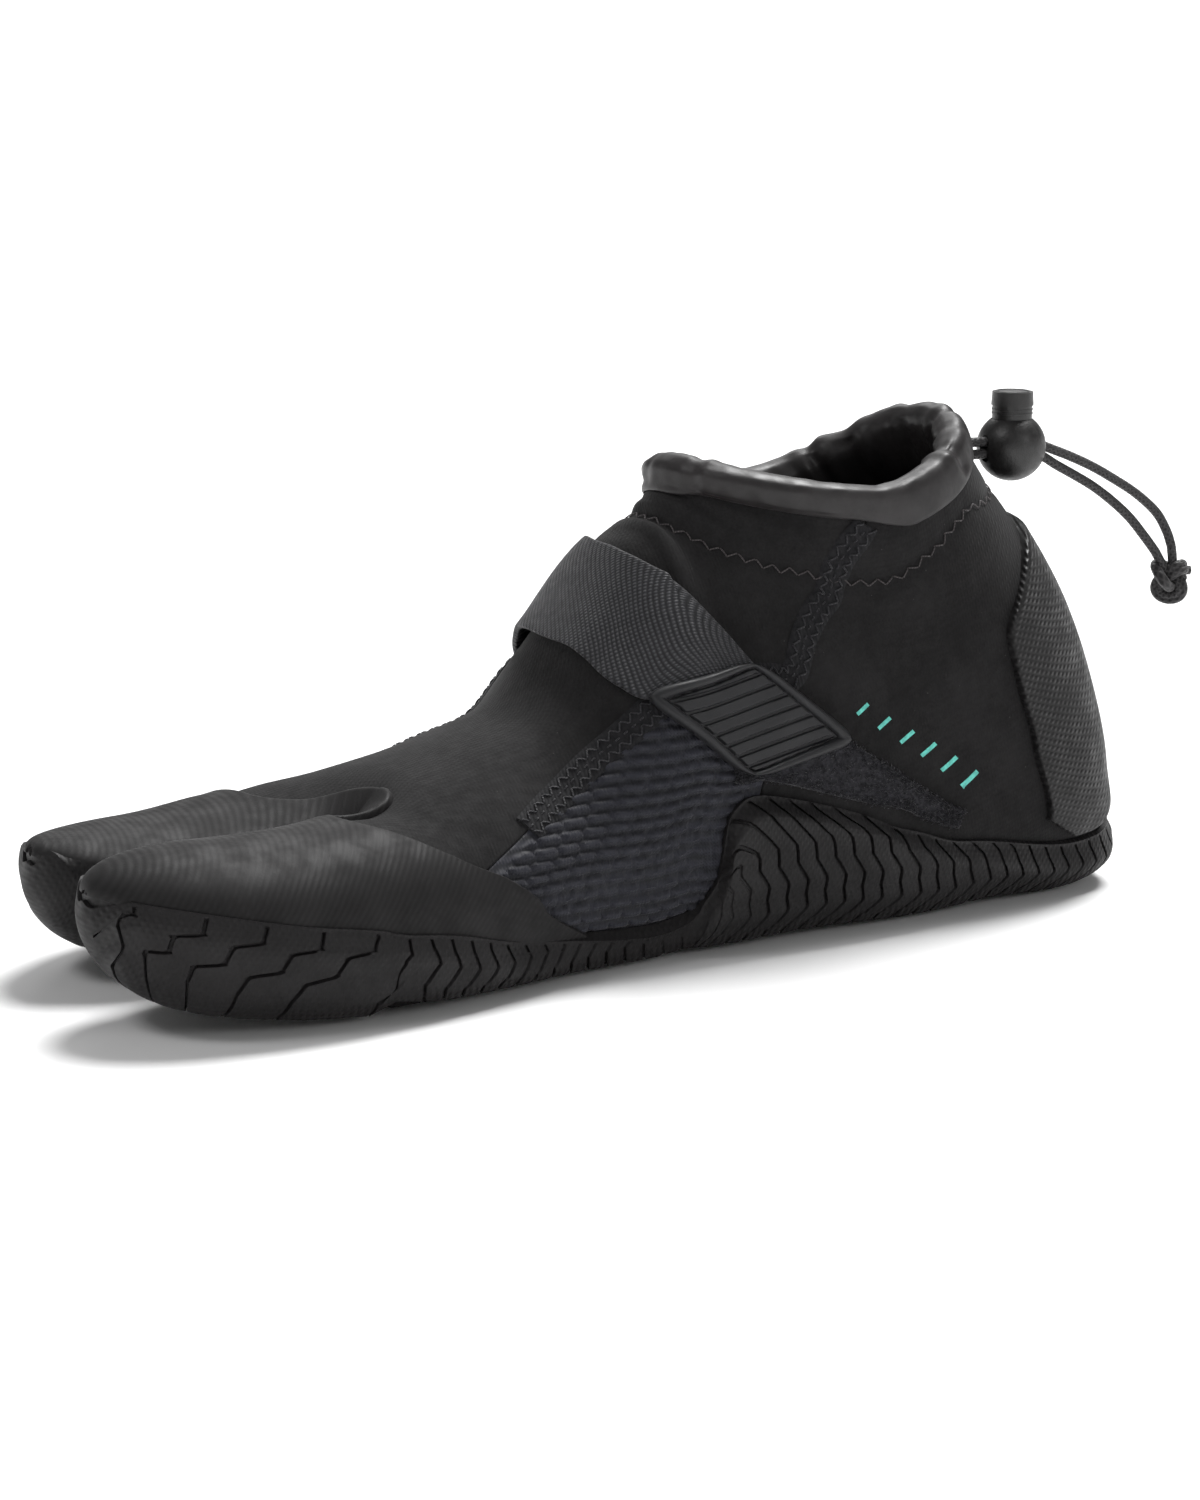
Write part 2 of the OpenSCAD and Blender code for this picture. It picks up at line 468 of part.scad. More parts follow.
function knot_point(t) = knot_centre + knot_size * [
    -1.5 * sin(3 * t), sin(t) + 2 * sin(2 * t), cos(t) - 2 * cos(2 * t)];
module cord_knot() {
    n = 44;
    w = 8;
    p = [for (i = [0:n - 1]) knot_point(360 * i / n)];
    pts = [for (i = [0:n - 1], j = [0:w - 1])
        let (t = p[(i + 1) % n] - p[(i + n - 1) % n], d = t / norm(t),
             v = turn_on(p[i] - knot_centre, d), u = cross(d, v))
        p[i] + (cos(360 * j / w) * v + sin(360 * j / w) * u) * knot_d / 2];
    color([0.13, 0.13, 0.14])
        polyhedron(points = pts, convexity = 12,
            faces = [for (i = [0:n - 1], j = [0:w - 1])
                let (a = i * w + j, b = i * w + (j + 1) % w, c = ((i + 1) % n) * w + j,
                     d = ((i + 1) % n) * w + (j + 1) % w)
                each [[a, b, c], [b, d, c]]]);
}

module slot_shape(w, low, high, long) {
    hull() for (z = [low + w / 2, high - w / 2])
        translate([0, 0, z]) rotate([90, 0, 0]) cylinder(d = w, h = long, center = true, $fn = 32);
}
module cord_lock_body() {
    color([0.12, 0.12, 0.12])
        translate(lock_centre)
            difference() {
                sphere(d = ball_d, $fn = 64);
                translate([0, 0, lock_floor]) cylinder(d = plunger_d + 0.4, h = ball_d, $fn = 48);
                slot_shape(3.2, -3.5, 3.1, ball_d + 2);
            }
}
module cord_lock_button() {
    low = lock_floor + button_travel + 0.1;
    neck = ball_d / 2 - 1.2;
    color([0.14, 0.14, 0.14])
        translate(lock_centre)
            difference() {
                union() {
                    translate([0, 0, low]) cylinder(d = plunger_d, h = neck + 3.1 - low, $fn = 48);
                    translate([0, 0, neck + 2.9])
                        cylinder(d1 = button_d, d2 = button_d - 0.4, h = 3.3, $fn = 48);
                }
                slot_shape(3.4, -2.9, 2.9 + button_travel, 14);
                translate([0, 0, low - 1]) cylinder(d = 5.2, h = 2, $fn = 32);
            }
}
module cord_lock_spring() {
    n = 40;
    wire = 0.35;
    p = [for (i = [0:n]) lock_centre
         + [1.9 * cos(27 * i), 1.9 * sin(27 * i), lock_floor + wire + 1.6 * i / n]];
    color([0.6, 0.6, 0.62]) tube(p, wire, 6, start = [0, 0, 1]);
}

module strap_part(a, b, rows) {
    f = [for (i = [a:b]) strap_front[i]];
    r = [for (i = [a:b]) strap_rear[i]];
    sheet(f, r, [f[0], r[0]], [f[b - a], r[b - a]], rows, 7, 1.3, 1.3 + webbing,
          trim = [0.008, 0], turned = true);
}
module instep_strap() {
    color([0.24, 0.24, 0.255]) strap_part(0, strap_split, 24);
}
module strap_flap() {
    color([0.24, 0.24, 0.255]) strap_part(strap_split, len(strap_front) - 1, 12);
}

// rounded four-sided pad on the skin, each edge a row of points
module pad(c0, c1, d0, d1, m, n, lo, hi, round) {
    grid = [for (i = [0:m - 1], j = [0:n - 1])
        let (p = 2 * i / (m - 1) - 1, q = 2 * j / (n - 1) - 1,
             u = (p * (1 - round * pow(abs(q), 5)) + 1) / 2,
             v = (q * (1 - round * pow(abs(p), 5)) + 1) / 2)
        patch(c0, c1, d0, d1, u, v)];
    polyhedron(
        points = concat([for (i = [0:m - 1], j = [0:n - 1])
                             layer(grid[i * n + j][0], grid[i * n + j][1], hi(i / (m - 1), j / (n - 1)))],
                        [for (q = grid) layer(q[0], q[1], lo)]),
        faces = slab_faces(m, n, m * n, function(i, j) i * n + j),
        convexity = 6);
}
// outer face of the pull tab: six slats across it inside a raised border
function slats(u, v) =
    let (x = (u - 0.14) / 0.72 * 6, groove = abs(x - round(x)) < 0.13,
         border = min(u, 1 - u) < 0.1 || min(v, 1 - v) < 0.13)
    2.3 + tab_thickness - (border ? 0 : groove ? 1.1 : 0.35);
module pull_tab() {
    color([0.21, 0.21, 0.22])
        pad(tab_left, tab_right, [tab_left[0], tab_top, tab_right[0]], [tab_left[4], tab_foot, tab_right[4]],
            51, 9, 2.3, function(u, v) slats(u, v), 0.08);
}
module hook_patch() {
    color([0.09, 0.09, 0.09])
        pad([[9, 34], [18, 17]], [[24, 29.5], [33, 18]], [[9, 34], [24, 29.5]], [[18, 17], [33, 18]],
            6, 6, 1.35, function(u, v) 2.1, 0.05);
}
module loop_patch() {
    color([0.14, 0.14, 0.16])
        sheet(loop_edge_low, loop_edge_high, [loop_edge_low[0], loop_edge_high[0]],
              [loop_edge_low[5], loop_edge_high[5]], 10, 5, sheet_gap, 1.1);
}

outsole();
footbed();
bottom_sock();
big_toe_pocket();
small_toes_pocket();
vamp_panel();
side_panel_near();
side_panel_far();
quarter_near();
quarter_far();
toe_overlay();
heel_overlay();
cuff_lining();
cuff_stitching();
flatlock_seam_near();
flatlock_seam_far();
back_seam_tape();
cord_guide();
elastic_cord();
cord_knot();
cord_lock_body();
cord_lock_button();
cord_lock_spring();
instep_strap();
strap_flap();
hook_patch();
loop_patch();
pull_tab();
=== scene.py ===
import math

import bmesh
import bpy
import numpy as np
from mathutils import Matrix, Vector


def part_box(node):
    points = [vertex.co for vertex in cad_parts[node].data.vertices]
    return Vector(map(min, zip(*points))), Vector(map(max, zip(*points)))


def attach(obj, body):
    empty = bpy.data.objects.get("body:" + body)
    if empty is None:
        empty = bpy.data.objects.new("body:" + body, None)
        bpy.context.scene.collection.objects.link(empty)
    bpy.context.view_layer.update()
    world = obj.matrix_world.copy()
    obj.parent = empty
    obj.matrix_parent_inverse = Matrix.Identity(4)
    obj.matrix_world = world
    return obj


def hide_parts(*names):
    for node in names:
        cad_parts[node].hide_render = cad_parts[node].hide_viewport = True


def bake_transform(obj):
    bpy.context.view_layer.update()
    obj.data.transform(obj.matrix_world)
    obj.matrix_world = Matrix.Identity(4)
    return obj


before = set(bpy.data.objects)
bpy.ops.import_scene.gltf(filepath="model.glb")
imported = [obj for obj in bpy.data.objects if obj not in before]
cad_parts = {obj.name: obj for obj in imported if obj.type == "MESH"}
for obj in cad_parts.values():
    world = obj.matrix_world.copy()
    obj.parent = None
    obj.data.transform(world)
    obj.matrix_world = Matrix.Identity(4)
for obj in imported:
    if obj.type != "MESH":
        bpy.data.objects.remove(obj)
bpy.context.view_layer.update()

MM = 0.001
UP = np.array([0.0, 0.0, 1.0])
AMBIENT = 0.2

# ---- camera and light -------------------------------------------------------------------


def make_camera():
    """85 mm lens at the photograph's viewing angle."""
    azimuth, elevation, roll = (math.radians(x) for x in (59.08, 12.0, 0.38))
    distance, target = 0.8266, Vector((0, 0.0011, 0.0433))
    back = Vector((math.sin(azimuth) * math.cos(elevation),
                   -math.cos(azimuth) * math.cos(elevation), math.sin(elevation)))
    right = Vector((math.cos(azimuth), math.sin(azimuth), 0))
    up = back.cross(right)
    rolled_right = right * math.cos(roll) + up * math.sin(roll)
    rolled_up = up * math.cos(roll) - right * math.sin(roll)
    lens = bpy.data.cameras.new("camera")
    lens.lens = 85
    lens.sensor_width = 36
    lens.clip_end = 100
    camera = bpy.data.objects.new("camera", lens)
    bpy.context.scene.collection.objects.link(camera)
    turn = Matrix((rolled_right, rolled_up, back)).transposed().to_4x4()
    camera.matrix_world = Matrix.Translation(target + back * distance) @ turn
    bpy.context.scene.camera = camera


def make_area(name, place, aim, size, power):
    lamp = bpy.data.lights.new(name, "AREA")
    lamp.shape = "RECTANGLE"
    lamp.size, lamp.size_y = size
    lamp.energy = power
    holder = bpy.data.objects.new(name, lamp)
    bpy.context.scene.collection.objects.link(holder)
    holder.location = place
    holder.rotation_euler = (Vector(aim) - Vector(place)).to_track_quat("-Z", "Y").to_euler()


def make_studio():
    """Pale floor that runs out to a bright horizon, a soft overhead sun and large lamps."""
    world = bpy.data.worlds.new("surround")
    bpy.context.scene.world = world
    world.use_nodes = True
    tree = world.node_tree
    place = tree.nodes.new("ShaderNodeTexCoord")
    split = tree.nodes.new("ShaderNodeSeparateXYZ")
    ramp = tree.nodes.new("ShaderNodeMapRange")
    for socket, value in zip(list(ramp.inputs)[1:5], (0.05, 0.16, 1.4, AMBIENT)):
        socket.default_value = value
    tree.links.new(place.outputs["Generated"], split.inputs[0])
    tree.links.new(split.outputs["Z"], ramp.inputs["Value"])
    tree.links.new(ramp.outputs["Result"], tree.nodes["Background"].inputs["Strength"])
    tree.nodes["Background"].inputs["Color"].default_value = (1, 1, 1, 1)
    half = 40.0
    mesh = bpy.data.meshes.new("floor")
    mesh.from_pydata([(-half, -half, 0), (half, -half, 0), (half, half, 0), (-half, half, 0)],
                     [], [(0, 1, 2, 3)])
    floor = bpy.data.objects.new("floor", mesh)
    bpy.context.scene.collection.objects.link(floor)
    paper = bpy.data.materials.new("floor_paper")
    paper.use_nodes = True
    shader = paper.node_tree.nodes["Principled BSDF"]
    shader.inputs["Base Color"].default_value = (0.94, 0.94, 0.94, 1)
    shader.inputs["Roughness"].default_value = 0.9
    shader.inputs["Specular IOR Level"].default_value = 0.1
    mesh.materials.append(paper)
    sun = bpy.data.lights.new("ceiling_glow", "SUN")
    sun.energy = 4.3
    sun.angle = math.radians(26)
    holder = bpy.data.objects.new("ceiling_glow", sun)
    bpy.context.scene.collection.objects.link(holder)
    holder.rotation_euler = Vector((0.27, -0.46, -1)).to_track_quat("-Z", "Y").to_euler()
    make_area("key", (0.1, -1.0, 1.3), (0, 0, 0.05), (0.5, 0.4), 5)
    make_area("side", (1.5, 0.5, 0.8), (0, 0.03, 0.05), (0.6, 0.5), 4)
    make_area("rim", (-1.2, 0.6, 1.0), (0, 0, 0.06), (0.8, 0.5), 5)
    bpy.context.scene.view_settings.view_transform = "Standard"


# ---- the skin, as in the design ---------------------------------------------------------

PIVOT_Y, PIVOT_Z = 8.0, 108.0
NEOPRENE, OVERLAY, SIDEWALL, TOE_SPRING, WEBBING, CORD_D = 2.0, 1.2, 4.4, 10.0, 1.6, 2.4
RADIAN = 57.3  # degrees, rounded as in the design
# how far the panels' top edge and the toe pockets' open edge stand back from their lines
EDGE_INSET = 0.9
# station, inner x, outer x, side drop, crown x, crown drop, sole drop, upper and lower roundness
STATIONS = np.array([
    [-140, 45.0, -49.0, 87, 3.0, 78.0, 103.0, 2.1, 3.4],
    [-110, 46.5, -51.0, 87, 3.0, 73.0, 103.0, 2.1, 3.6],
    [-80, 46.0, -52.0, 87, 3.5, 69.0, 103.0, 2.1, 3.6],
    [-60, 44.5, -52.0, 87, 4.0, 65.5, 103.0, 2.1, 3.6],
    [-40, 41.0, -50.0, 87, 4.0, 60.5, 103.0, 2.1, 3.5],
    [-25, 38.5, -47.5, 86, 3.5, 55.0, 103.0, 2.1, 3.4],
    [-14, 37.5, -46.0, 86, 3.5, 46.0, 103.0, 2.1, 3.4],
    [-4, 36.5, -45.0, 86, 3.0, 31.0, 103.0, 2.1, 3.4],
    [8, 35.5, -43.0, 84, 2.5, 14.0, 103.0, 2.1, 3.2],
    [28, 34.5, -40.0, 88, 2.0, 10.5, 109.5, 2.1, 3.2],
    [48, 34.0, -36.0, 102, 1.0, 10.0, 134.5, 2.1, 3.0],
    [60, 33.5, -34.5, 110, 0.5, 10.0, 162.0, 2.1, 2.9],
    [66, 32.5, -33.5, 100, 0.0, 10.0, 153.5, 2.1, 2.7],
    [73, 31.0, -32.0, 84, 0.0, 10.0, 141.0, 2.1, 2.3],
    [80, 30.5, -31.0, 70, 0.0, 10.0, 126.0, 2.0, 2.2],
    [88, 30.0, -31.0, 56, 0.0, 10.0, 109.0, 2.0, 2.1],
    [96, 30.0, -31.0, 50, 0.0, 10.0, 95.0, 2.0, 2.0],
    [105, 30.0, -31.0, 46, 0.0, 10.0, 87.0, 2.0, 2.0]])
# station, outer edge x, slot edge x, top drop of each toe pocket
BIG_TOE = np.array([[-140, 34, 10, 79], [-118, 42, 6, 76], [-100, 45.5, 4.5, 73],
                    [-86, 46, 3.6, 70.6], [-80, 46, 2, 69.5], [-60, 44.5, 4, 65.5]])
SMALL_TOES = np.array([[-134, -33, -9, 83.5], [-118, -41, -4, 82], [-100, -48, -1, 79],
                       [-86, -51.5, 0.2, 75.5], [-80, -52, 2, 74], [-60, -52, 4, 67]])
BIG_TIP, SMALL_TIP = (-136, -112), (-131, -106)
CROTCH = -80

# edges on the skin, each point a station and an angle: 90 crown, 0 side, -90 sole and back
LASTING = [[-76, -38], [-58, -37], [-40, -37], [-16, -40], [8, -42], [16, -44]]
LASTING_HEEL = [[16, -44], [30, -47], [42, -49], [50, -52], [56, -58], [59, -70], [60.5, -90]]
FRONT_SEAM = [[-79.4, -36], [-77, -33], [-70, -12], [-62, 5], [-52, 20], [-40, 31], [-28, 41],
              [-17, 45], [-6, 40], [6, 36], [18, 33], [30, 30], [38, 29]]
REAR_SEAM = [[38, 29], [48, 35], [58, 38], [68, 34], [78, 25]]
QUARTER_FRONT = [[16, -44], [17, -20], [20, 8], [28, 15], [34, 22]]
FOXING = [[-140, 4], [-100, 2], [-80, 0], [-60, -4], [-40, -18], [-25, -27], [-12, -32],
          [2, -32], [7.5, -24], [9.5, -8], [11.5, 4], [14, 8], [20, 9], [29, 6], [37, 2],
          [43, -4], [47, -14], [52, -23], [57, -36], [60, -46], [62, -60], [63.4, -78]]
FOXING_FAR = [[-140, 4], [-100, 2], [-80, 0], [-60, -2], [-40, -4], [-12, -4], [8, -3],
              [29, 0], [37, -1], [43, -5], [47, -14], [52, -23], [57, -36], [60, -46],
              [62, -60], [63.4, -78]]
OVERLAY_REAR = [[0, -22], [8, -28], [14, -34], [22, -43], [28, -51], [34, -64], [40, -74],
                [46, -77.5], [54, -77.5], [62, -74], [70, -66], [78, -60], [88, -57.5],
                [98, -60], [106, -64], [116, -70], [128, -76], [140, -77.5], [156, -77.5],
                [168, -74], [180, -68]]
HEEL_EDGE = [[57, -20], [60.5, -6], [64, -4], [68, -4.5], [73, -10], [77, -19], [82, -34],
             [85.5, -48], [87.5, -62], [88.6, -78]]
STRAP_FRONT = [[30, 176], [16, 170], [6, 158], [0.8, 146], [-3, 132], [-6, 118], [-8, 106],
               [-9, 96], [-9.2, 84], [-9.2, 74], [-9, 64], [-7.5, 54], [-4.5, 44], [2, 35]]
STRAP_REAR = [[48, 162], [37, 152], [28, 143], [21, 135], [14, 124], [8.5, 113], [5.5, 102],
              [4.5, 92], [4.5, 80], [6.2, 67], [9.5, 58], [15, 49.5], [23, 40], [29, 31]]
# top and foot of the tab's left side, then of its right side
TAB_CORNERS = [[[-5.6, 46.4], [16.6, 12.2]], [[27.6, 34.4], [42.6, 14.5]]]
STITCH = np.array([[-90, 94.6], [-86, 94], [-60, 92.8], [-29, 90.5], [-13, 86], [5, 79.5], [18, 73],
                   [31, 68], [44, 63], [55, 54], [64, 44], [76, 33], [90, 26]], float)
HOOK_CORNERS = np.array([[9, 34], [24, 29.5], [33, 18], [18, 17]], float)
LOOP_LOW = [[15, 12], [22, 11.2], [30, 8], [38, 4], [44, 0], [48, -8]]
LOOP_HIGH = [[16.5, 24], [28, 25], [37, 21], [42, 14], [46, 6], [50, -4]]
UPPER_STRAND = [[3, 168.2, 79.6], [2.6, 166.8, 83.5], [2, 163.6, 88.5], [2, 157, 93.6],
                [2, 150, 97.6], [2, 143, 101.2], [2, 136, 104.2], [2, 130, 106.4],
                [2, 126, 107.8], [2, 121, 109.1], [2, 117, 109.4], [2, 112, 109.5],
                [2, 105, 109.6], [1.6, 101, 109.6], [2.2, 97.2, 109.6]]
LOWER_STRAND = [[-2.2, 98.2, 106.4], [0.8, 101, 106.6], [2, 105, 106.6], [2, 112, 106.6],
                [2, 117, 106.6], [2, 121, 106.5], [2, 126, 105.3], [2, 131, 102.6],
                [2, 137, 99.6], [2, 143, 96.4], [2.2, 149, 92.4], [2.6, 154.6, 87.8],
                [3, 159.6, 82.4], [3, 163, 78.6]]
KNOT_CENTRE = np.array([3, 168, 71.2])
CORD_DROP, CORD_INSET = 6.2, 3.5
# the outsole's wall: its upper edge and the line straight below it near the ground,
# from the toe slot round the tip, along the side and to the back of the heel
WALL_TOP = [[-82, -91], [-100, -92], [-118, -94], [-130, -96], [-134.4, -99], [-135.97, -45],
            [-134.4, 3], [-130, 4.5], [-118, 4], [-100, 2], [-80, 0], [-60, -4], [-40, -18],
            [-25, -27], [-12, -32], [0, -33], [6, -28], [9, -12], [11.5, 4], [15, 8.4], [20, 9],
            [29, 6], [37, 2], [43, -4], [47, -14], [52, -23], [57, -36], [60, -46], [62, -60],
            [63.4, -78], [63.7, -90]]
WALL_BASE = [[-82, -62], [-100, -60], [-112, -58], [-118, -56], [-121, -50], [-122, -45],
             [-121, -40], [-119, -34], [-113, -31], [-98, -29], [-80, -28], [-60, -41],
             [-40, -45], [-25, -47], [-12, -48], [0, -49], [5.5, -49], [8, -49], [10, -49],
             [12.5, -49], [16, -49], [24, -49.5], [31.5, -50.5], [38.5, -52], [43.5, -54],
             [49.5, -56], [54.6, -60], [57, -66], [58.4, -72], [59.2, -82], [59.4, -90]]
WALL_TOP_FAR = [[-82, -91], [-98, -92], [-114, -94], [-126, -96], [-129.6, -99], [-130.97, -45],
                [-129.6, 2], [-126, 3.5], [-114, 3], [-98, 2], [-80, 0], [-60, -2], [-40, -4],
                [-12, -4], [8, -3], [29, 0], [37, -1], [43, -5], [47, -14], [52, -23],
                [57, -36], [60, -46], [62, -60], [63.4, -78], [63.7, -90]]
WALL_BASE_FAR = [[-82, -62], [-98, -60], [-108, -58], [-113, -56], [-116, -50], [-117, -45],
                 [-116, -40], [-114, -34], [-109, -31], [-96, -29], [-80, -28], [-60, -37],
                 [-40, -39], [-12, -41], [8, -43], [25, -45], [32.5, -46.5], [38.5, -49],
                 [43.5, -52], [49.5, -55], [54.6, -60], [57, -66], [58.4, -72], [59.2, -82],
                 [59.4, -90]]


def rows(table, s):
    """Smooth curve through the rows of a table, looked up by the first column."""
    x = table[:, 0]
    slope = np.empty_like(table, float)
    slope[1:-1] = (table[2:] - table[:-2]) / (x[2:] - x[:-2])[:, None]
    slope[0] = (table[1] - table[0]) / (x[1] - x[0])
    slope[-1] = (table[-1] - table[-2]) / (x[-1] - x[-2])
    i = np.clip(np.searchsorted(x, s, side="right") - 1, 0, len(x) - 2)
    h = (x[i + 1] - x[i])[..., None]
    q = (s - x[i])[..., None] / h
    p = 1 - q
    return (table[i] * (1 + 2 * q) * p * p + slope[i] * h * q * p * p
            + table[i + 1] * q * q * (3 - 2 * q) - slope[i + 1] * h * q * q * p)


def ease(a, b, x):
    t = np.clip((x - a) / (b - a), 0, 1)
    return t * t * (3 - 2 * t)


def bulge(v, n):
    return np.sign(v) * np.abs(v) ** (2 / n)


def ground(y):
    return TOE_SPRING * np.maximum(0, (-70 - y) / 66) ** 1.7


def wrap(a):
    a = np.asarray(a, float)
    return np.where(a < -90, a + 360, a)


def side_of(a):
    a = wrap(a)
    return np.where(a <= 90, a, 180 - a)


def skin(s, a):
    """A point of the skin at station s and angle a."""
    s, a = np.broadcast_arrays(np.asarray(s, float), wrap(a))
    near = a <= 90
    b = np.radians(np.where(near, a, 180 - a))
    above = b >= 0
    row = rows(STATIONS, s)
    edge = np.where(near, row[..., 1], row[..., 2])
    roundness = np.where(above, row[..., 7], row[..., 8])
    x = row[..., 4] + (edge - row[..., 4]) * bulge(np.cos(b), roundness)
    lift = bulge(np.abs(np.sin(b)), roundness)
    drop = row[..., 3] + np.where(above, row[..., 5] - row[..., 3], row[..., 6] - row[..., 3]) * lift
    toe = np.where(near[..., None], rows(BIG_TOE, s), rows(SMALL_TOES, s))
    tip = np.where(near, BIG_TIP[0], SMALL_TIP[0])
    taper = np.where(near, BIG_TIP[1], SMALL_TIP[1])
    q = np.clip((s - taper) / (tip - taper), 0, 1)
    width, height = (1 - q ** 2.2) ** 0.4545, np.sqrt(1 - q * q)
    n = np.where(above, 2.1, 3.0)
    toe_x = ((toe[..., 1] + toe[..., 2]) / 2
             + width * (toe[..., 1] - toe[..., 2]) / 2 * bulge(np.cos(2 * b), n))
    toe_lift = height * bulge(np.abs(np.sin(2 * b)), n)
    toe_reach = np.where(above, toe[..., 3] - row[..., 3], row[..., 6] - row[..., 3])
    toe_drop = row[..., 3] + toe_reach * toe_lift
    k = np.where(above, ease(-52, CROTCH, s), ease(-76.5, CROTCH, s))
    x = x * (1 - k) + toe_x * k
    r = drop * (1 - k) + toe_drop * k - ground(s)
    f = np.radians(np.maximum(0, s - PIVOT_Y))
    return np.stack([x, np.minimum(s, PIVOT_Y) + r * np.sin(f), PIVOT_Z - r * np.cos(f)], -1)


def unit(v):
    return v / np.maximum(np.linalg.norm(v, axis=-1, keepdims=True), 1e-9)


def outward(s, a):
    s, a = np.broadcast_arrays(np.asarray(s, float), np.asarray(a, float))
    h = np.clip((s + 136) / 3, 0.05, 0.5)
    return unit(np.cross(skin(s + h, a) - skin(s - h, a), skin(s, a + 0.5) - skin(s, a - 0.5)))


def layer(s, a, off):
    """A point a distance off the skin; cloth, below, adds the swells of the worn neoprene."""
    off = np.asarray(off, float)
    return skin(s, a) + off[..., None] * outward(s, a)


def cuff(a):
    a = wrap(a)
    b = np.radians(side_of(a))
    return (PIVOT_Y + 80 - 3 * np.maximum(0, np.sin(b)) + 15 * np.maximum(0, -np.sin(b)) ** 1.1
            + np.where(a > 90, 2 * np.cos(b), 0))


def reach(a):
    p = skin(cuff(a), a)
    return np.hypot(p[..., 1] - PIVOT_Y, p[..., 2] - PIVOT_Z)


def below_cuff(a, d):
    """Station a length d below the cuff edge; above it where d is negative."""
    r = reach(a) / RADIAN
    s = cuff(a) - d / r
    return np.where(s >= PIVOT_Y, s, PIVOT_Y - (d - (cuff(a) - PIVOT_Y) * r) / 1.6)


def puff(s, a):
    """Swells and soft creases of the worn neoprene, in millimetres off the skin."""
    b = side_of(a)
    over = (s - np.interp(b, *STITCH.T)) * reach(a) / RADIAN
    tunnel = 0.8 * ease(0.8, 4.5, over) * (1 - ease(5, 9, over)) * ease(-75, -40, b)
    seam = -0.55 * np.exp(-(over / 1.2) ** 2)
    loose = ease(-50, -25, s) * (1 - ease(70, 84, s)) * ease(5, 25, b)
    folds = 0.5 * np.sin(0.13 * s + 0.045 * a) * np.sin(0.05 * a + 0.6) + 0.25 * np.sin(0.31 * s - 0.06 * a)
    bend = -0.8 * np.exp(-((s + 22 - 0.10 * (a - 90)) / 4.5) ** 2) * ease(20, 45, b)
    return tunnel + seam + loose * (folds + bend)


def cloth(s, a, off):
    return layer(s, a, off + puff(s, a))


def line(points, t):
    """Smooth curve through points, with t from 0 to 1 over them all."""
    p = np.asarray(points, float)
    n = len(p) - 1
    x = np.clip(t, 0, 1) * n
    i = np.minimum(np.floor(x).astype(int), n - 1)
    f = (x - i)[..., None]
    before, here, there, after = p[np.maximum(i - 1, 0)], p[i], p[i + 1], p[np.minimum(i + 2, n)]
    return here + 0.5 * f * (there - before + f * (2 * before - 5 * here + 4 * there - after
                                                   + f * (3 * (here - there) + after - before)))


def spaced(n, pack):
    """n values from 0 to 1, packed closer at both ends as pack nears 1."""
    t = np.linspace(0, 1, n)
    return t - pack * np.sin(2 * np.pi * t) / (2 * np.pi)


def patch(c0, c1, d0, d1, m, n, pack=(0.8, 0.8)):
    """Stations and angles between four edges: c0 and c1 run with u, d0 and d1 with v."""
    u, v = np.meshgrid(spaced(m, pack[0]), spaced(n, pack[1]), indexing="ij")
    return patch_at(c0, c1, d0, d1, u, v)


def patch_at(c0, c1, d0, d1, u, v):
    """The same patch, at any places in it."""
    e0, e1, g0, g1 = line(c0, u), line(c1, u), line(d0, v), line(d1, v)
    u, v = u[..., None], v[..., None]
    first, last, over, far = (np.asarray(q, float) for q in (c0[0], c0[-1], c1[0], c1[-1]))
    grid = ((1 - v) * e0 + v * e1 + (1 - u) * g0 + u * g1
            - (1 - u) * (1 - v) * first - u * (1 - v) * last - (1 - u) * v * over - u * v * far)
    return grid[..., 0], grid[..., 1]


def mirrored(points):
    return [[q[0], 180 - q[1]] for q in points]


def quads_of(at):
    """Faces between neighbours in a grid of vertex numbers."""
    return np.stack([at[:-1, :-1], at[:-1, 1:], at[1:, 1:], at[1:, :-1]], -1).reshape(-1, 4)


def around(at):
    """The same grid of vertex numbers, joined to itself on its second axis."""
    return np.hstack([at, at[:, :1]])


def lengths(points, axis):
    """Distance run along one axis of a grid of points."""
    step = np.linalg.norm(np.diff(points, axis=axis), axis=-1)
    zero = np.zeros_like(np.take(step, [0], axis))
    return np.concatenate([zero, np.cumsum(step, axis)], axis)


def flat_map(points):
    return np.stack([lengths(points, 0), lengths(points, 1)], -1)


def from_rim(along, across):
    """Distance to the nearest edge of a patch, from the lengths run along both its axes."""
    return np.minimum(np.minimum(along, along[-1:] - along), np.minimum(across, across[:, -1:] - across))


def edge_fall(points, radius):
    """How far a face drops near the rim of its patch to round the edge over."""
    q = np.clip(1 - from_rim(lengths(points, 0), lengths(points, 1)) / radius, 0, 1)
    return radius * (1 - np.sqrt(1 - q * q))


# ---- meshes -----------------------------------------------------------------------------


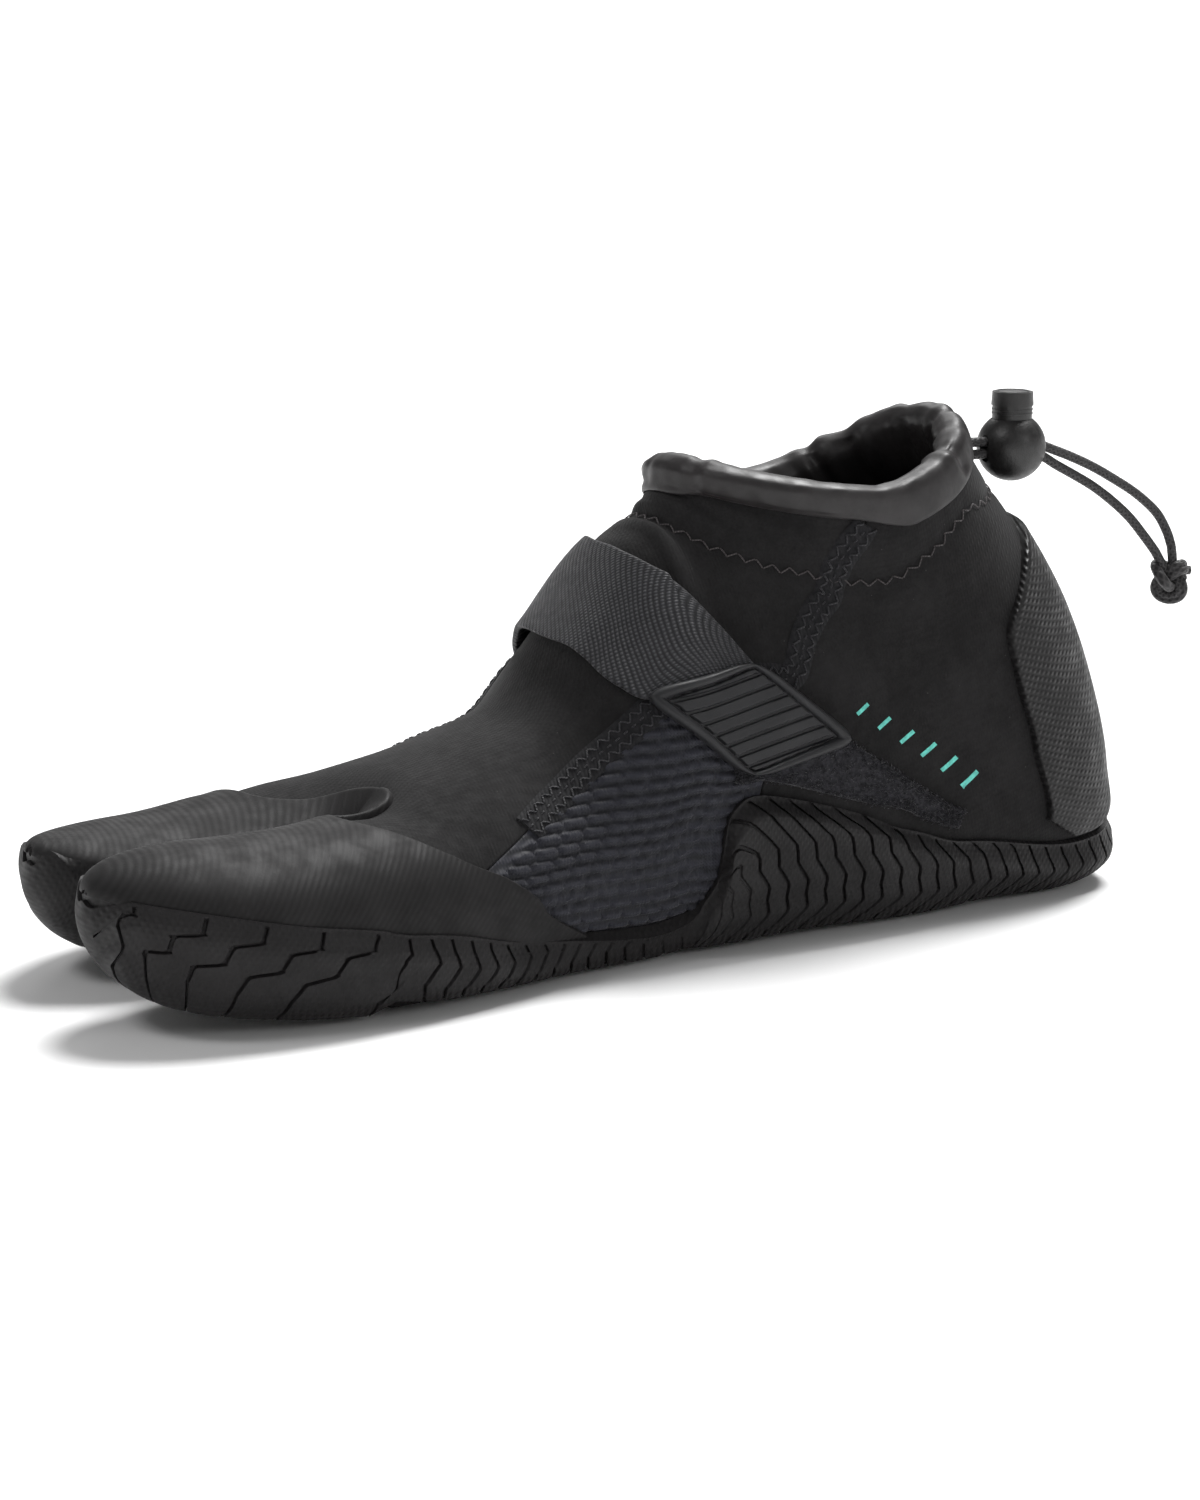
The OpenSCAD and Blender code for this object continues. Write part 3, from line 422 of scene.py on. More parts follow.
class Shape:
    """Gathers vertices, faces and a flat map, then makes one piece of them."""

    def __init__(self):
        self.points, self.faces, self.flat, self.count = [], [], [], 0

    def add(self, points, faces, flat=None):
        points = np.asarray(points, float).reshape(-1, 3)
        self.points.append(points)
        self.flat.append(np.zeros((len(points), 2)) if flat is None else np.asarray(flat).reshape(-1, 2))
        self.faces += [tuple(int(i) + self.count for i in f) for f in faces]
        self.count += len(points)

    def slab(self, outer, inner, walls=(True, True, True, True), wrapped=False, flat=None):
        """Closed sheet between two grids of points; walls close u low, u high, v low, v high."""
        m, n = outer.shape[:2]
        k = m * n
        at = np.arange(k).reshape(m, n)
        if wrapped:
            at = around(at)
        quads = quads_of(at)
        faces = [quads, quads[:, ::-1] + k]
        rims = [at[0], at[-1]] + ([] if wrapped else [at[:, 0], at[:, -1]])
        for wanted, rim in zip(walls, rims):
            if wanted:
                faces.append(np.stack([rim[:-1], rim[1:], rim[1:] + k, rim[:-1] + k], -1))
        if flat is None:
            flat = flat_map(outer)
        self.add(np.concatenate([outer.reshape(-1, 3), inner.reshape(-1, 3)]), np.concatenate(faces),
                 np.concatenate([flat.reshape(-1, 2)] * 2) * MM)

    def tube(self, path, radius, sides=8, closed=False, squash=None):
        """Round tube along a path, with ends; squash gives radii along it for each side."""
        path = np.asarray(path, float)
        m = len(path)
        ahead = np.roll(path, -1, 0) - np.roll(path, 1, 0) if closed else np.gradient(path, axis=0)
        forward = unit(ahead)
        side = np.empty_like(path)
        v = np.cross(forward[0], UP if abs(forward[0][2]) < 0.9 else [1.0, 0, 0])
        for i in range(m):
            v = v - (v @ forward[i]) * forward[i]
            v = v / np.linalg.norm(v)
            side[i] = v
        other = np.cross(forward, side)
        angle = np.linspace(0, 2 * np.pi, sides, endpoint=False)
        reach_of = np.broadcast_to(np.asarray(radius, float).reshape(-1, 1), (m, sides))
        if squash is not None:
            reach_of = reach_of * squash(angle)[None]
        c, e = np.cos(angle)[None, :, None], np.sin(angle)[None, :, None]
        ring = c * side[:, None] + e * other[:, None]
        points = path[:, None] + ring * reach_of[..., None]
        at = around(np.arange(m * sides).reshape(m, sides))
        if closed:
            at = np.vstack([at, at[:1]])
        quads = quads_of(at)
        run = lengths(path, 0)
        flat = np.stack(np.broadcast_arrays(run[:, None], angle[None] * np.mean(radius)), -1) * MM
        faces = [tuple(q) for q in quads]
        if not closed:
            faces += [tuple(range(sides)), tuple(range((m - 1) * sides, m * sides))]
        self.add(points, faces, flat)

    def lathe(self, profile, centre, steps=64):
        """Closed solid turned round a vertical axis from a closed outline of radius and height."""
        angle = np.linspace(0, 2 * np.pi, steps, endpoint=False)
        p = np.asarray(profile, float)
        points = np.stack([centre[0] + p[:, :1] * np.cos(angle), centre[1] + p[:, :1] * np.sin(angle),
                           centre[2] + p[:, 1:] + 0 * angle], -1)
        at = around(np.arange(len(p) * steps).reshape(len(p), steps))
        self.add(points, quads_of(np.vstack([at, at[:1]])))

    def make(self, name, finish, body, stands_for=(), sharp=50, weld=1e-6):
        """Makes the piece, in metres, ties it to its body, gives it its material slot and hides the CAD
        nodes it stands for.
        """
        mesh = bpy.data.meshes.new(name)
        mesh.from_pydata((np.concatenate(self.points) * MM).tolist(), [], self.faces)
        uv = mesh.uv_layers.new(name="flat")
        corner = np.empty(len(mesh.loops), np.int32)
        mesh.loops.foreach_get("vertex_index", corner)
        uv.data.foreach_set("uv", np.concatenate(self.flat)[corner].astype(np.float32).ravel())
        work = bmesh.new()
        work.from_mesh(mesh)
        bmesh.ops.remove_doubles(work, verts=work.verts, dist=weld)
        bmesh.ops.dissolve_degenerate(work, edges=work.edges, dist=1e-7)
        bmesh.ops.recalc_face_normals(work, faces=work.faces)
        work.to_mesh(mesh)
        work.free()
        mesh.polygons.foreach_set("use_smooth", [True] * len(mesh.polygons))
        mesh.set_sharp_from_angle(angle=math.radians(sharp))
        mesh.materials.append(finish)
        piece = bpy.data.objects.new(name, mesh)
        bpy.context.scene.collection.objects.link(piece)
        if body:
            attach(piece, body)
        if stands_for:
            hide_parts(*stands_for)
        return piece


# ---- materials --------------------------------------------------------------------------


class Finish:
    """One procedural material, built a node at a time."""

    def __init__(self, name, roughness, specular=0.5, sheen=0.0, coat=0.0, metal=0.0):
        self.material = bpy.data.materials.new(name)
        self.material.use_nodes = True
        self.tree = self.material.node_tree
        self.shader = self.tree.nodes["Principled BSDF"]
        self.normal = None
        for socket, value in (("Roughness", roughness), ("Specular IOR Level", specular),
                              ("Sheen Weight", sheen), ("Coat Weight", coat), ("Metallic", metal)):
            self.shader.inputs[socket].default_value = value
        self.shader.inputs["Sheen Roughness"].default_value = 0.45
        self.shader.inputs["Coat Roughness"].default_value = 0.25
        self.coordinates = self.tree.nodes.new("ShaderNodeTexCoord")

    def put(self, socket, value):
        if isinstance(value, bpy.types.NodeSocket):
            self.tree.links.new(value, socket)
        else:
            socket.default_value = value

    def math(self, kind, *values):
        node = self.tree.nodes.new("ShaderNodeMath")
        node.operation = kind
        for socket, value in zip(node.inputs, values):
            self.put(socket, value)
        return node.outputs[0]

    def place(self, flat):
        return self.coordinates.outputs["UV" if flat else "Object"]

    def stripes(self, direction, pitch, flat=False, phase=0.0):
        """Wave from 0 to 1 across a direction, in object space or on the flat map."""
        dot = self.tree.nodes.new("ShaderNodeVectorMath")
        dot.operation = "DOT_PRODUCT"
        self.put(dot.inputs[0], self.place(flat))
        dot.inputs[1].default_value = Vector(direction).normalized()
        turns = self.math("MULTIPLY_ADD", dot.outputs["Value"], 2 * math.pi / pitch, phase)
        return self.math("MULTIPLY_ADD", self.math("SINE", turns), 0.5, 0.5)

    def noise(self, size, detail=3.0, flat=False, distortion=0.0):
        node = self.tree.nodes.new("ShaderNodeTexNoise")
        node.inputs["Scale"].default_value = 1 / size
        node.inputs["Detail"].default_value = detail
        node.inputs["Distortion"].default_value = distortion
        self.put(node.inputs["Vector"], self.place(flat))
        return node.outputs["Fac"]

    def cells(self, size, flat=False):
        node = self.tree.nodes.new("ShaderNodeTexVoronoi")
        node.inputs["Scale"].default_value = 1 / size
        self.put(node.inputs["Vector"], self.place(flat))
        return node.outputs["Distance"]

    def band(self, value, low, high, out_low=0.0, out_high=1.0):
        """Value mapped smoothly from the low-high range."""
        node = self.tree.nodes.new("ShaderNodeMapRange")
        node.interpolation_type = "SMOOTHSTEP"
        for socket, number in zip(node.inputs, (value, low, high, out_low, out_high)):
            self.put(socket, number)
        return node.outputs["Result"]

    def blend(self, factor, dark, light):
        node = self.tree.nodes.new("ShaderNodeMix")
        node.data_type = "RGBA"
        self.put(node.inputs["Factor"], factor)
        for socket, colour in ((node.inputs[6], dark), (node.inputs[7], light)):
            self.put(socket, (*colour, 1.0) if isinstance(colour, tuple) else colour)
        return node.outputs[2]

    def colour(self, value):
        self.put(self.shader.inputs["Base Color"], value)

    def rough(self, value):
        self.put(self.shader.inputs["Roughness"], value)

    def crossed(self, one, pitch, other, other_pitch):
        """Two sets of stripes multiplied into points."""
        return self.math("MULTIPLY", self.stripes(one, pitch), self.stripes(other, other_pitch))

    def mottle(self, size, detail, share, fine, fine_share):
        """Broad patches with a share of fine ones over them."""
        return self.math("MULTIPLY_ADD", self.noise(size, detail), share,
                         self.math("MULTIPLY", self.noise(fine, 4), fine_share))

    def shade(self, size, detail, dark, light):
        """Colour that drifts between two tones in patches of about a size."""
        return self.blend(self.band(self.noise(size, detail), 0.3, 0.7), dark, light)

    def vary(self, size, detail, low, high):
        """Roughness that drifts between two values."""
        self.rough(self.band(self.noise(size, detail), 0.3, 0.7, low, high))

    def grain(self, size, detail, depth, strength):
        """Random relief, its depth in millimetres."""
        self.bump(self.noise(size, detail), depth, strength)

    def bump(self, height, depth, strength=1.0):
        """Adds relief of the given depth in millimetres on top of what is there."""
        node = self.tree.nodes.new("ShaderNodeBump")
        node.inputs["Distance"].default_value = depth * MM
        node.inputs["Strength"].default_value = strength
        self.put(node.inputs["Height"], height)
        if self.normal is not None:
            self.put(node.inputs["Normal"], self.normal)
        self.normal = node.outputs["Normal"]
        self.put(self.shader.inputs["Normal"], self.normal)


def neoprene_finish(name="neoprene_jersey", tint=(1.0, 0.95, 0.98)):
    """Knitted nylon face: fine ribs of the knit, pilling, faint lint and slow shade changes."""
    f = Finish(name, 0.92, specular=0.18, sheen=0.06)
    dark = tuple(0.0078 * c for c in tint)
    light = tuple(0.0145 * c for c in tint)
    shade = f.mottle(0.018, 3, 0.65, 0.0006, 0.45)
    cloth_colour = f.blend(f.band(shade, 0.38, 0.72), dark, light)
    lint = f.band(f.cells(0.0042), 0.022, 0.045, 1.0, 0.0)
    f.colour(f.blend(f.math("MULTIPLY", lint, 0.35), cloth_colour, (0.11, 0.10, 0.10)))
    knit = f.crossed((0.3, 1, 0.25), 0.00085, (1, -0.3, 0.9), 0.0011)
    f.grain(0.0007, 4, 0.10, 0.8)
    f.bump(knit, 0.07, 0.7)
    f.vary(0.003, 3, 0.86, 0.98)
    return f.material


def mesh_finish():
    """Bluish knitted face of the embossed side panels, with a painted highlight along the raised brick
    rows.
    """
    f = Finish("embossed_mesh", 0.72, specular=0.3, sheen=0.1)
    shade = f.band(f.noise(0.004, 4), 0.3, 0.75)
    # painted highlight: the raised brick rows, 2.9 mm apart, are coloured lighter and bluer
    brick_row_highlight = f.math("MULTIPLY", f.stripes((0, 1, 0), 0.0029, True, -math.pi / 2), 0.75)
    ground_tone = f.blend(shade, (0.0055, 0.0057, 0.008), (0.0115, 0.0118, 0.0165))
    f.colour(f.blend(brick_row_highlight, ground_tone, (0.021, 0.0214, 0.03)))
    f.bump(f.crossed((0.2, 1, 0.1), 0.0008, (0.6, 0, 1), 0.0008), 0.10, 0.8)
    f.vary(0.0016, 3, 0.62, 0.8)
    return f.material


def overlay_finish():
    """Thin moulded rubber with fine slanting ribs, crossed into dots where it is most worn."""
    f = Finish("overlay_rubber", 0.7, specular=0.2)
    ribs = f.stripes((0.12, 0.78, -0.62), 0.0013)
    cross = f.stripes((0.75, 0.35, 0.55), 0.0013)
    dots = f.math("MULTIPLY", ribs, f.math("MULTIPLY_ADD", cross, 0.8, 0.2))
    worn = f.band(f.noise(0.03, 1), 0.4, 0.62)
    pick = f.tree.nodes.new("ShaderNodeMix")
    for socket, value in ((pick.inputs[0], f.math("MULTIPLY", worn, 0.8)), (pick.inputs[2], ribs),
                          (pick.inputs[3], dots)):
        f.put(socket, value)
    relief = pick.outputs[0]
    base = f.shade(0.02, 3, (0.0072, 0.0068, 0.007), (0.0115, 0.0107, 0.011))
    # painted highlight: the raised ribs and dots of the relief are coloured lighter
    f.colour(f.blend(f.math("MULTIPLY", relief, 0.25), base, (0.023, 0.0215, 0.0222)))
    f.bump(relief, 0.07, 0.8)
    f.grain(0.0005, 3, 0.05, 0.6)
    f.vary(0.006, 4, 0.58, 0.74)
    return f.material


def heel_finish():
    """Moulded heel cup with a fine criss-cross of raised points."""
    f = Finish("heel_rubber", 0.55, specular=0.28)
    relief = f.crossed((0.35, 0.3, 1), 0.0014, (0.35, 1, -0.45), 0.0014)
    base = f.shade(0.015, 3, (0.0055, 0.0052, 0.0054), (0.0088, 0.0082, 0.0085))
    # painted highlight: the raised points of the criss-cross are coloured lighter
    f.colour(f.blend(f.math("MULTIPLY", relief, 0.3), base, (0.02, 0.0187, 0.0193)))
    f.bump(relief, 0.24, 0.85)
    f.grain(0.0005, 3, 0.05, 0.6)
    f.vary(0.006, 4, 0.42, 0.6)
    return f.material


def sole_finish():
    """Outsole rubber: satin, dusty in places, with fine moulded lines low on the wall."""
    f = Finish("outsole_rubber", 0.6, specular=0.2)
    height = f.tree.nodes.new("ShaderNodeSeparateXYZ")
    f.put(height.inputs[0], f.place(False))
    low = f.band(height.outputs[2], 0.004, 0.0075, 1.0, 0.0)
    shade = f.mottle(0.022, 4, 0.7, 0.0012, 0.3)
    base = f.blend(f.band(shade, 0.32, 0.68), (0.0076, 0.007, 0.0073), (0.0137, 0.0127, 0.0131))
    dots = f.crossed((0.1, 1, 0.5), 0.0013, (0.1, 1, -0.9), 0.0013)
    f.colour(f.blend(f.math("MULTIPLY", low, 0.35), base, (0.024, 0.022, 0.022)))
    f.bump(dots, 0.13, 0.8)
    f.bump(f.math("MULTIPLY", f.stripes((0.35, 1, 0), 0.0016), low), 0.35, 0.8)
    f.grain(0.0006, 4, 0.05, 0.7)
    f.vary(0.009, 4, 0.5, 0.68)
    return f.material


def lining_finish():
    """Smooth-skin rubber of the cuff: soft shine, faint drag lines and scuffs."""
    f = Finish("smooth_skin", 0.5, specular=0.32)
    shade = f.mottle(0.014, 4, 0.8, 0.0009, 0.2)
    f.colour(f.blend(f.band(shade, 0.32, 0.7), (0.0125, 0.011, 0.0113), (0.021, 0.0187, 0.0191)))
    f.bump(f.noise(0.0045, 3, distortion=0.6), 0.25, 0.5)
    f.grain(0.0004, 3, 0.03, 0.6)
    f.vary(0.005, 4, 0.38, 0.54)
    return f.material


def webbing_finish():
    """Twill-woven webbing: slanting rows of yarn over a fine plain ground."""
    f = Finish("twill_webbing", 0.62, specular=0.25, sheen=0.06)
    twill = f.stripes((1, 1.35, 0), 0.00115, flat=True)
    yarn = f.stripes((1, -0.55, 0), 0.0009, flat=True)
    weave = f.math("MULTIPLY", twill, f.math("MULTIPLY_ADD", yarn, 0.7, 0.3))
    base = f.shade(0.01, 3, (0.008, 0.008, 0.0092), (0.0125, 0.0125, 0.0143))
    # painted highlight: the raised yarn of the weave is coloured lighter
    f.colour(f.blend(weave, base, (0.045, 0.045, 0.05)))
    f.bump(weave, 0.3, 1.0)
    f.grain(0.0004, 3, 0.06, 0.6)
    f.vary(0.002, 3, 0.5, 0.72)
    return f.material


def moulded_finish():
    """Satin moulded rubber of the pull tab."""
    f = Finish("tab_rubber", 0.5, specular=0.3)
    f.colour(f.shade(0.008, 4, (0.0105, 0.0105, 0.0118), (0.017, 0.017, 0.0185)))
    f.grain(0.0006, 4, 0.06, 0.6)
    f.vary(0.004, 4, 0.42, 0.58)
    return f.material


def plastic_finish():
    """Grained hard plastic of the cord lock."""
    f = Finish("grained_plastic", 0.4, specular=0.5)
    f.colour(f.shade(0.003, 4, (0.0085, 0.008, 0.008), (0.0125, 0.0118, 0.0118)))
    f.grain(0.00035, 3, 0.08, 0.9)
    f.vary(0.002, 3, 0.34, 0.48)
    return f.material


def cord_finish():
    """Braided sleeve of the elastic cord."""
    f = Finish("braided_cord", 0.55, specular=0.35, sheen=0.1)
    left = f.stripes((1, 1, 0), 0.0011, flat=True)
    right = f.stripes((1, -1, 0), 0.0011, flat=True)
    braid = f.math("MAXIMUM", left, right)
    # painted highlight: the raised crests of the braid are coloured lighter
    f.colour(f.blend(f.band(braid, 0.35, 1.0), (0.0105, 0.01, 0.0105), (0.034, 0.032, 0.033)))
    f.bump(braid, 0.14, 1.0)
    f.vary(0.001, 3, 0.45, 0.65)
    return f.material


def thread_finish(name, light):
    """Bonded thread, twisted from fine strands."""
    f = Finish(name, 0.6, specular=0.35, sheen=0.1)
    twist = f.stripes((1, 0.6, 0), 0.0006, flat=True)
    # painted highlight and shade: the raised twist of the strands is coloured lighter, the hollows between
    # them darker
    f.colour(f.blend(twist, tuple(0.5 * x for x in light), light))
    f.bump(twist, 0.08, 0.8)
    f.vary(0.001, 2, 0.5, 0.7)
    return f.material


def tape_finish():
    """Napped band of the flatlock seams, a shade off the neoprene."""
    f = Finish("seam_tape", 0.85, specular=0.2, sheen=0.08)
    f.colour(f.shade(0.0012, 4, (0.0065, 0.0065, 0.0075), (0.014, 0.0135, 0.015)))
    f.bump(f.stripes((0.4, 1, 0.3), 0.0009), 0.14, 0.7)
    f.grain(0.0006, 3, 0.1, 0.7)
    f.vary(0.002, 3, 0.78, 0.92)
    return f.material


def fuzz_finish(name, dark, light):
    """Brushed loop or hook tape."""
    f = Finish(name, 0.95, specular=0.15, sheen=0.2)
    f.colour(f.shade(0.0009, 5, dark, light))
    f.grain(0.0008, 5, 0.35, 1.0)
    f.vary(0.003, 3, 0.88, 1.0)
    return f.material


def foam_finish():
    """Closed-cell footbed under a brushed cover."""
    f = Finish("footbed_cover", 0.9, specular=0.2, sheen=0.08)
    f.colour(f.shade(0.006, 5, (0.016, 0.016, 0.018), (0.03, 0.03, 0.033)))
    f.bump(f.crossed((1, 1, 0), 0.0024, (1, -1, 0), 0.0024), 0.25, 0.8)
    f.vary(0.003, 3, 0.8, 0.95)
    return f.material


def steel_finish():
    """Drawn spring wire."""
    f = Finish("spring_wire", 0.3, specular=0.5, metal=1.0)
    f.colour(f.shade(0.002, 4, (0.3, 0.3, 0.31), (0.5, 0.5, 0.52)))
    f.grain(0.0003, 3, 0.02, 0.5)
    f.vary(0.001, 3, 0.22, 0.4)
    return f.material


# ---- cords ------------------------------------------------------------------------------


def smooth_path(points, step):
    """Points along a smooth curve through a route, about step apart."""
    rough = line(points, np.linspace(0, 1, 40 * len(points)))
    run = lengths(rough, 0)
    even = np.linspace(0, run[-1], int(run[-1] / step) + 2)
    return np.stack([np.interp(even, run, rough[:, k]) for k in range(rough.shape[1])], -1)


def make_strand(name, route, finish, stands_for=()):
    path = smooth_path(route, 0.8)
    shape = Shape()
    shape.tube(path, CORD_D / 2, 12)
    return shape.make(name, finish, "boot", stands_for), path


def make_cords(finish):
    upper, upper_path = make_strand("cord_upper_strand", UPPER_STRAND[::-1], finish, ["elastic_cord"])
    lower, lower_path = make_strand("cord_lower_strand", LOWER_STRAND, finish)
    loop = Shape()
    angles = np.linspace(-72, 252, 220)
    loop.tube(layer(below_cuff(angles, CORD_DROP), angles, -CORD_INSET), CORD_D / 2, 8)
    loop.make("cord_inside_tunnel", finish, "boot")
    knot = make_knot(finish)


def make_knot(finish):
    """Overhand knot tied in both strands, with its two cut ends."""
    size = 1.55
    t = np.linspace(0, 2 * np.pi, 150, endpoint=False)
    path = KNOT_CENTRE + size * np.stack([-1.35 * np.sin(3 * t), np.sin(t) + 2 * np.sin(2 * t),
                                          np.cos(t) - 2 * np.cos(2 * t)], -1)
    shape = Shape()
    shape.tube(path, 1.75, 20, closed=True, squash=lambda a: 0.62 + 0.5 * np.abs(np.cos(a)) ** 0.8)
    for top, bend in ((UPPER_STRAND[0], [3.2, 168.6, 75.5]), (LOWER_STRAND[-1], [2.9, 165.4, 75.2])):
        shape.tube(smooth_path([top, bend, KNOT_CENTRE], 0.8), CORD_D / 2, 12)
    for end in ([4.4, 173.4, 73.2], [2.6, 173.0, 70.8]):
        shape.tube(smooth_path([KNOT_CENTRE, 0.5 * (KNOT_CENTRE + end) + [0, 0.3, 0.9], end], 0.8),
                   CORD_D / 2 - 0.05, 12)
    return shape.make("cord_knot_tied", finish, "boot", ["cord_knot"])


# ---- cord lock --------------------------------------------------------------------------


def dress(node, finish):
    """Gives a CAD node that stays its material."""
    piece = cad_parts[node]
    piece.data.materials.clear()
    piece.data.materials.append(finish)
    return piece


def make_lock(plastic):
    """The ball and its plunger stay as designed, with their moulded details added."""
    lo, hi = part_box("cord_lock_body")
    centre = np.array([(lo.x + hi.x) / 2, (lo.y + hi.y) / 2, lo.z + 0.0085]) / MM
    body, button = dress("cord_lock_body", plastic), dress("cord_lock_button", plastic)
    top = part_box("cord_lock_button")[1].z / MM - centre[2]
    rings = Shape()
    for low in (top - 4.6, top - 5.5):
        rings.lathe([[4.7, low], [5.05, low + 0.1], [5.05, low + 0.45], [4.7, low + 0.55]], centre)
    cap = [[4.3, -0.2], [4.3, 0.12], [4.0, 0.25], [3.7, 0.12], [3.7, -0.2]]
    rings.lathe([[r, top + h] for r, h in cap], centre)
    grip = rings.make("lock_button_rings", plastic, "lock_button")
    return [body, button, grip]


# ---- upper ------------------------------------------------------------------------------


def make_sheet(name, s, a, low, high, finish, stands_for, round_edge=0.6, relief=None, at=cloth,
               body="boot"):
    """Closed sheet over a patch of the skin, rounded at its rim."""
    base = skin(s, a)
    top = high - edge_fall(base, round_edge)
    if relief is not None:
        top = top + relief(lengths(base, 0), lengths(base, 1))
    shape = Shape()
    shape.slab(at(s, a, top), at(s, a, low), flat=flat_map(base))
    return shape.make(name, finish, body, stands_for)


def make_upper(neoprene, mesh):
    near = FRONT_SEAM + REAR_SEAM[1:] + [[float(cuff(12)) - EDGE_INSET, 12]]
    arch = [[float(cuff(a)) - EDGE_INSET, a] for a in np.linspace(12, 168, 25)]
    s, a = patch(near, mirrored(near), [[-79.4, -36], [-79.4, 216]], arch, 210, 150)
    make_sheet("vamp", s, a, -NEOPRENE, 0, neoprene, ["vamp_panel"])
    for side, turn in (("near", lambda p: p), ("far", mirrored)):
        low = turn(LASTING)
        top = turn([[-76, -30]] + FRONT_SEAM[2:])
        back = turn(QUARTER_FRONT + [[38, 29]])
        s, a = patch(low, top, [low[0], top[0]], back, 230, 100, (0.2, 0.2))
        make_sheet("side_panel_" + side + "_mesh", s, a, -NEOPRENE, -0.15, mesh,
                   ["side_panel_" + side], relief=brick_relief)
        rim = [[float(cuff(x)) - EDGE_INSET, x] for x in np.linspace(12, -86, 13)]
        front = QUARTER_FRONT + REAR_SEAM + [[float(cuff(12)) - EDGE_INSET, 12]]
        seam = [[60.5, -90], [66, -90], [72, -90], [78, -90], [84, -90], [92.5, -90], [96, -86.5], rim[-1]]
        s, a = patch(turn(LASTING_HEEL), turn(rim), turn(front), turn(seam), 110, 130)
        make_sheet("quarter_" + side + "_panel", s, a, -NEOPRENE, 0, neoprene,
                   ["quarter_" + side])


def box_wave(x, low, high, soft):
    """1 inside low-high of each turn of x, easing off over soft."""
    x = x - np.floor(x)
    return ease(low - soft, low + soft, x) * (1 - ease(high - soft, high + soft, x))


def brick_relief(along, across):
    """Rows of short raised bricks, half a brick out of step from row to row."""
    pitch, brick = 2.9, 5.6
    row = np.floor(across / pitch)
    x = along / brick + 0.5 * (row % 2)
    raised = box_wave(across / pitch, 0.2, 0.8, 0.14) * box_wave(x, 0.1, 0.9, 0.07)
    inside = np.minimum(ease(2, 5, along[-1:] - along), ease(1.5, 4, across))
    return 0.8 * raised * inside * ease(1.5, 4, across[:, -1:] - across)


def skin_path(points, step, at=cloth):
    """Even steps along a line on the skin: places, outward and sideways."""
    track = line(points, np.linspace(0, 1, 60 * len(points)))
    run = lengths(at(track[:, 0], track[:, 1], 0.0 * track[:, 0]), 0)
    even = np.linspace(0, run[-1], max(4, int(run[-1] / step)))
    s, a = np.interp(even, run, track[:, 0]), np.interp(even, run, track[:, 1])
    place, up = at(s, a, 0 * s), outward(s, a)
    return place, up, unit(np.cross(up, np.gradient(place, axis=0)))


def make_band(name, points, width, low, high, finish, stands_for=()):
    """Flat band with rounded edges along a line on the skin."""
    place, up, side = skin_path(points, 1.2)
    q = np.linspace(-1, 1, 13)
    top = high - (high - low) * np.abs(q) ** 6
    flat = place[:, None] + side[:, None] * (q * width / 2)[None, :, None]
    shape = Shape()
    shape.slab(flat + up[:, None] * top[None, :, None], flat + up[:, None] * (low - 0.05))
    return shape.make(name, finish, "boot", stands_for)


def add_zigzag(shape, points, pitch, half, offset, lift, radius):
    """Zigzag stitches along a line; each stitch dives into the cloth at both its ends."""
    place, up, side = skin_path(points, pitch / 4)
    for k in range(0, len(place) - 4, 4):
        turn = [-1, 1] if (k // 4) % 2 else [1, -1]
        ends = [place[j] + side[j] * (offset + t * half) for j, t in zip((k, k + 4), turn)]
        middle = 0.5 * (ends[0] + ends[1]) + up[k + 2] * lift
        first, last = ends[0] - up[k] * 0.15, ends[1] - up[k + 4] * 0.15
        bend = [first, 0.7 * ends[0] + 0.3 * middle + up[k] * lift * 0.55, middle,
                0.7 * ends[1] + 0.3 * middle + up[k + 4] * lift * 0.55, last]
        shape.tube(bend, radius, 5)


def add_row(shape, points, pitch, offset, lift, radius):
    """Straight row of short stitches."""
    place, up, side = skin_path(points, pitch / 4)
    for k in range(0, len(place) - 4, 4):
        place_of = [place[j] + side[j] * offset + up[j] * h
                    for j, h in ((k, -0.1), (k + 1, lift), (k + 2, lift), (k + 3, -0.1))]
        shape.tube(place_of, radius, 5)


def make_mark(ink):
    """Plain row of six printed bars on the inner quarter."""
    places = [[47.4, 18.9], [49, 15.1], [50.6, 11.3], [51.9, 7.8], [52.8, 4.2], [53.5, 0.6]]
    shape = Shape()
    for s0, a0 in places:
        s, a = np.meshgrid(s0 + np.linspace(-1.5, 1.5, 9), a0 + np.linspace(-0.32, 0.32, 4), indexing="ij")
        a = a + (s - s0) * 0.25
        shape.slab(cloth(s, a, 0.06), cloth(s, a, -0.2))
    shape.make("printed_bars", ink, "boot")


def ink_finish():
    """Screen-printed ink, slightly cracked by the stretch of the cloth."""
    f = Finish("printed_ink", 0.6, specular=0.3)
    f.colour(f.shade(0.0009, 4, (0.09, 0.42, 0.36), (0.14, 0.62, 0.53)))
    f.grain(0.0006, 3, 0.06, 0.7)
    f.vary(0.001, 3, 0.5, 0.7)
    return f.material


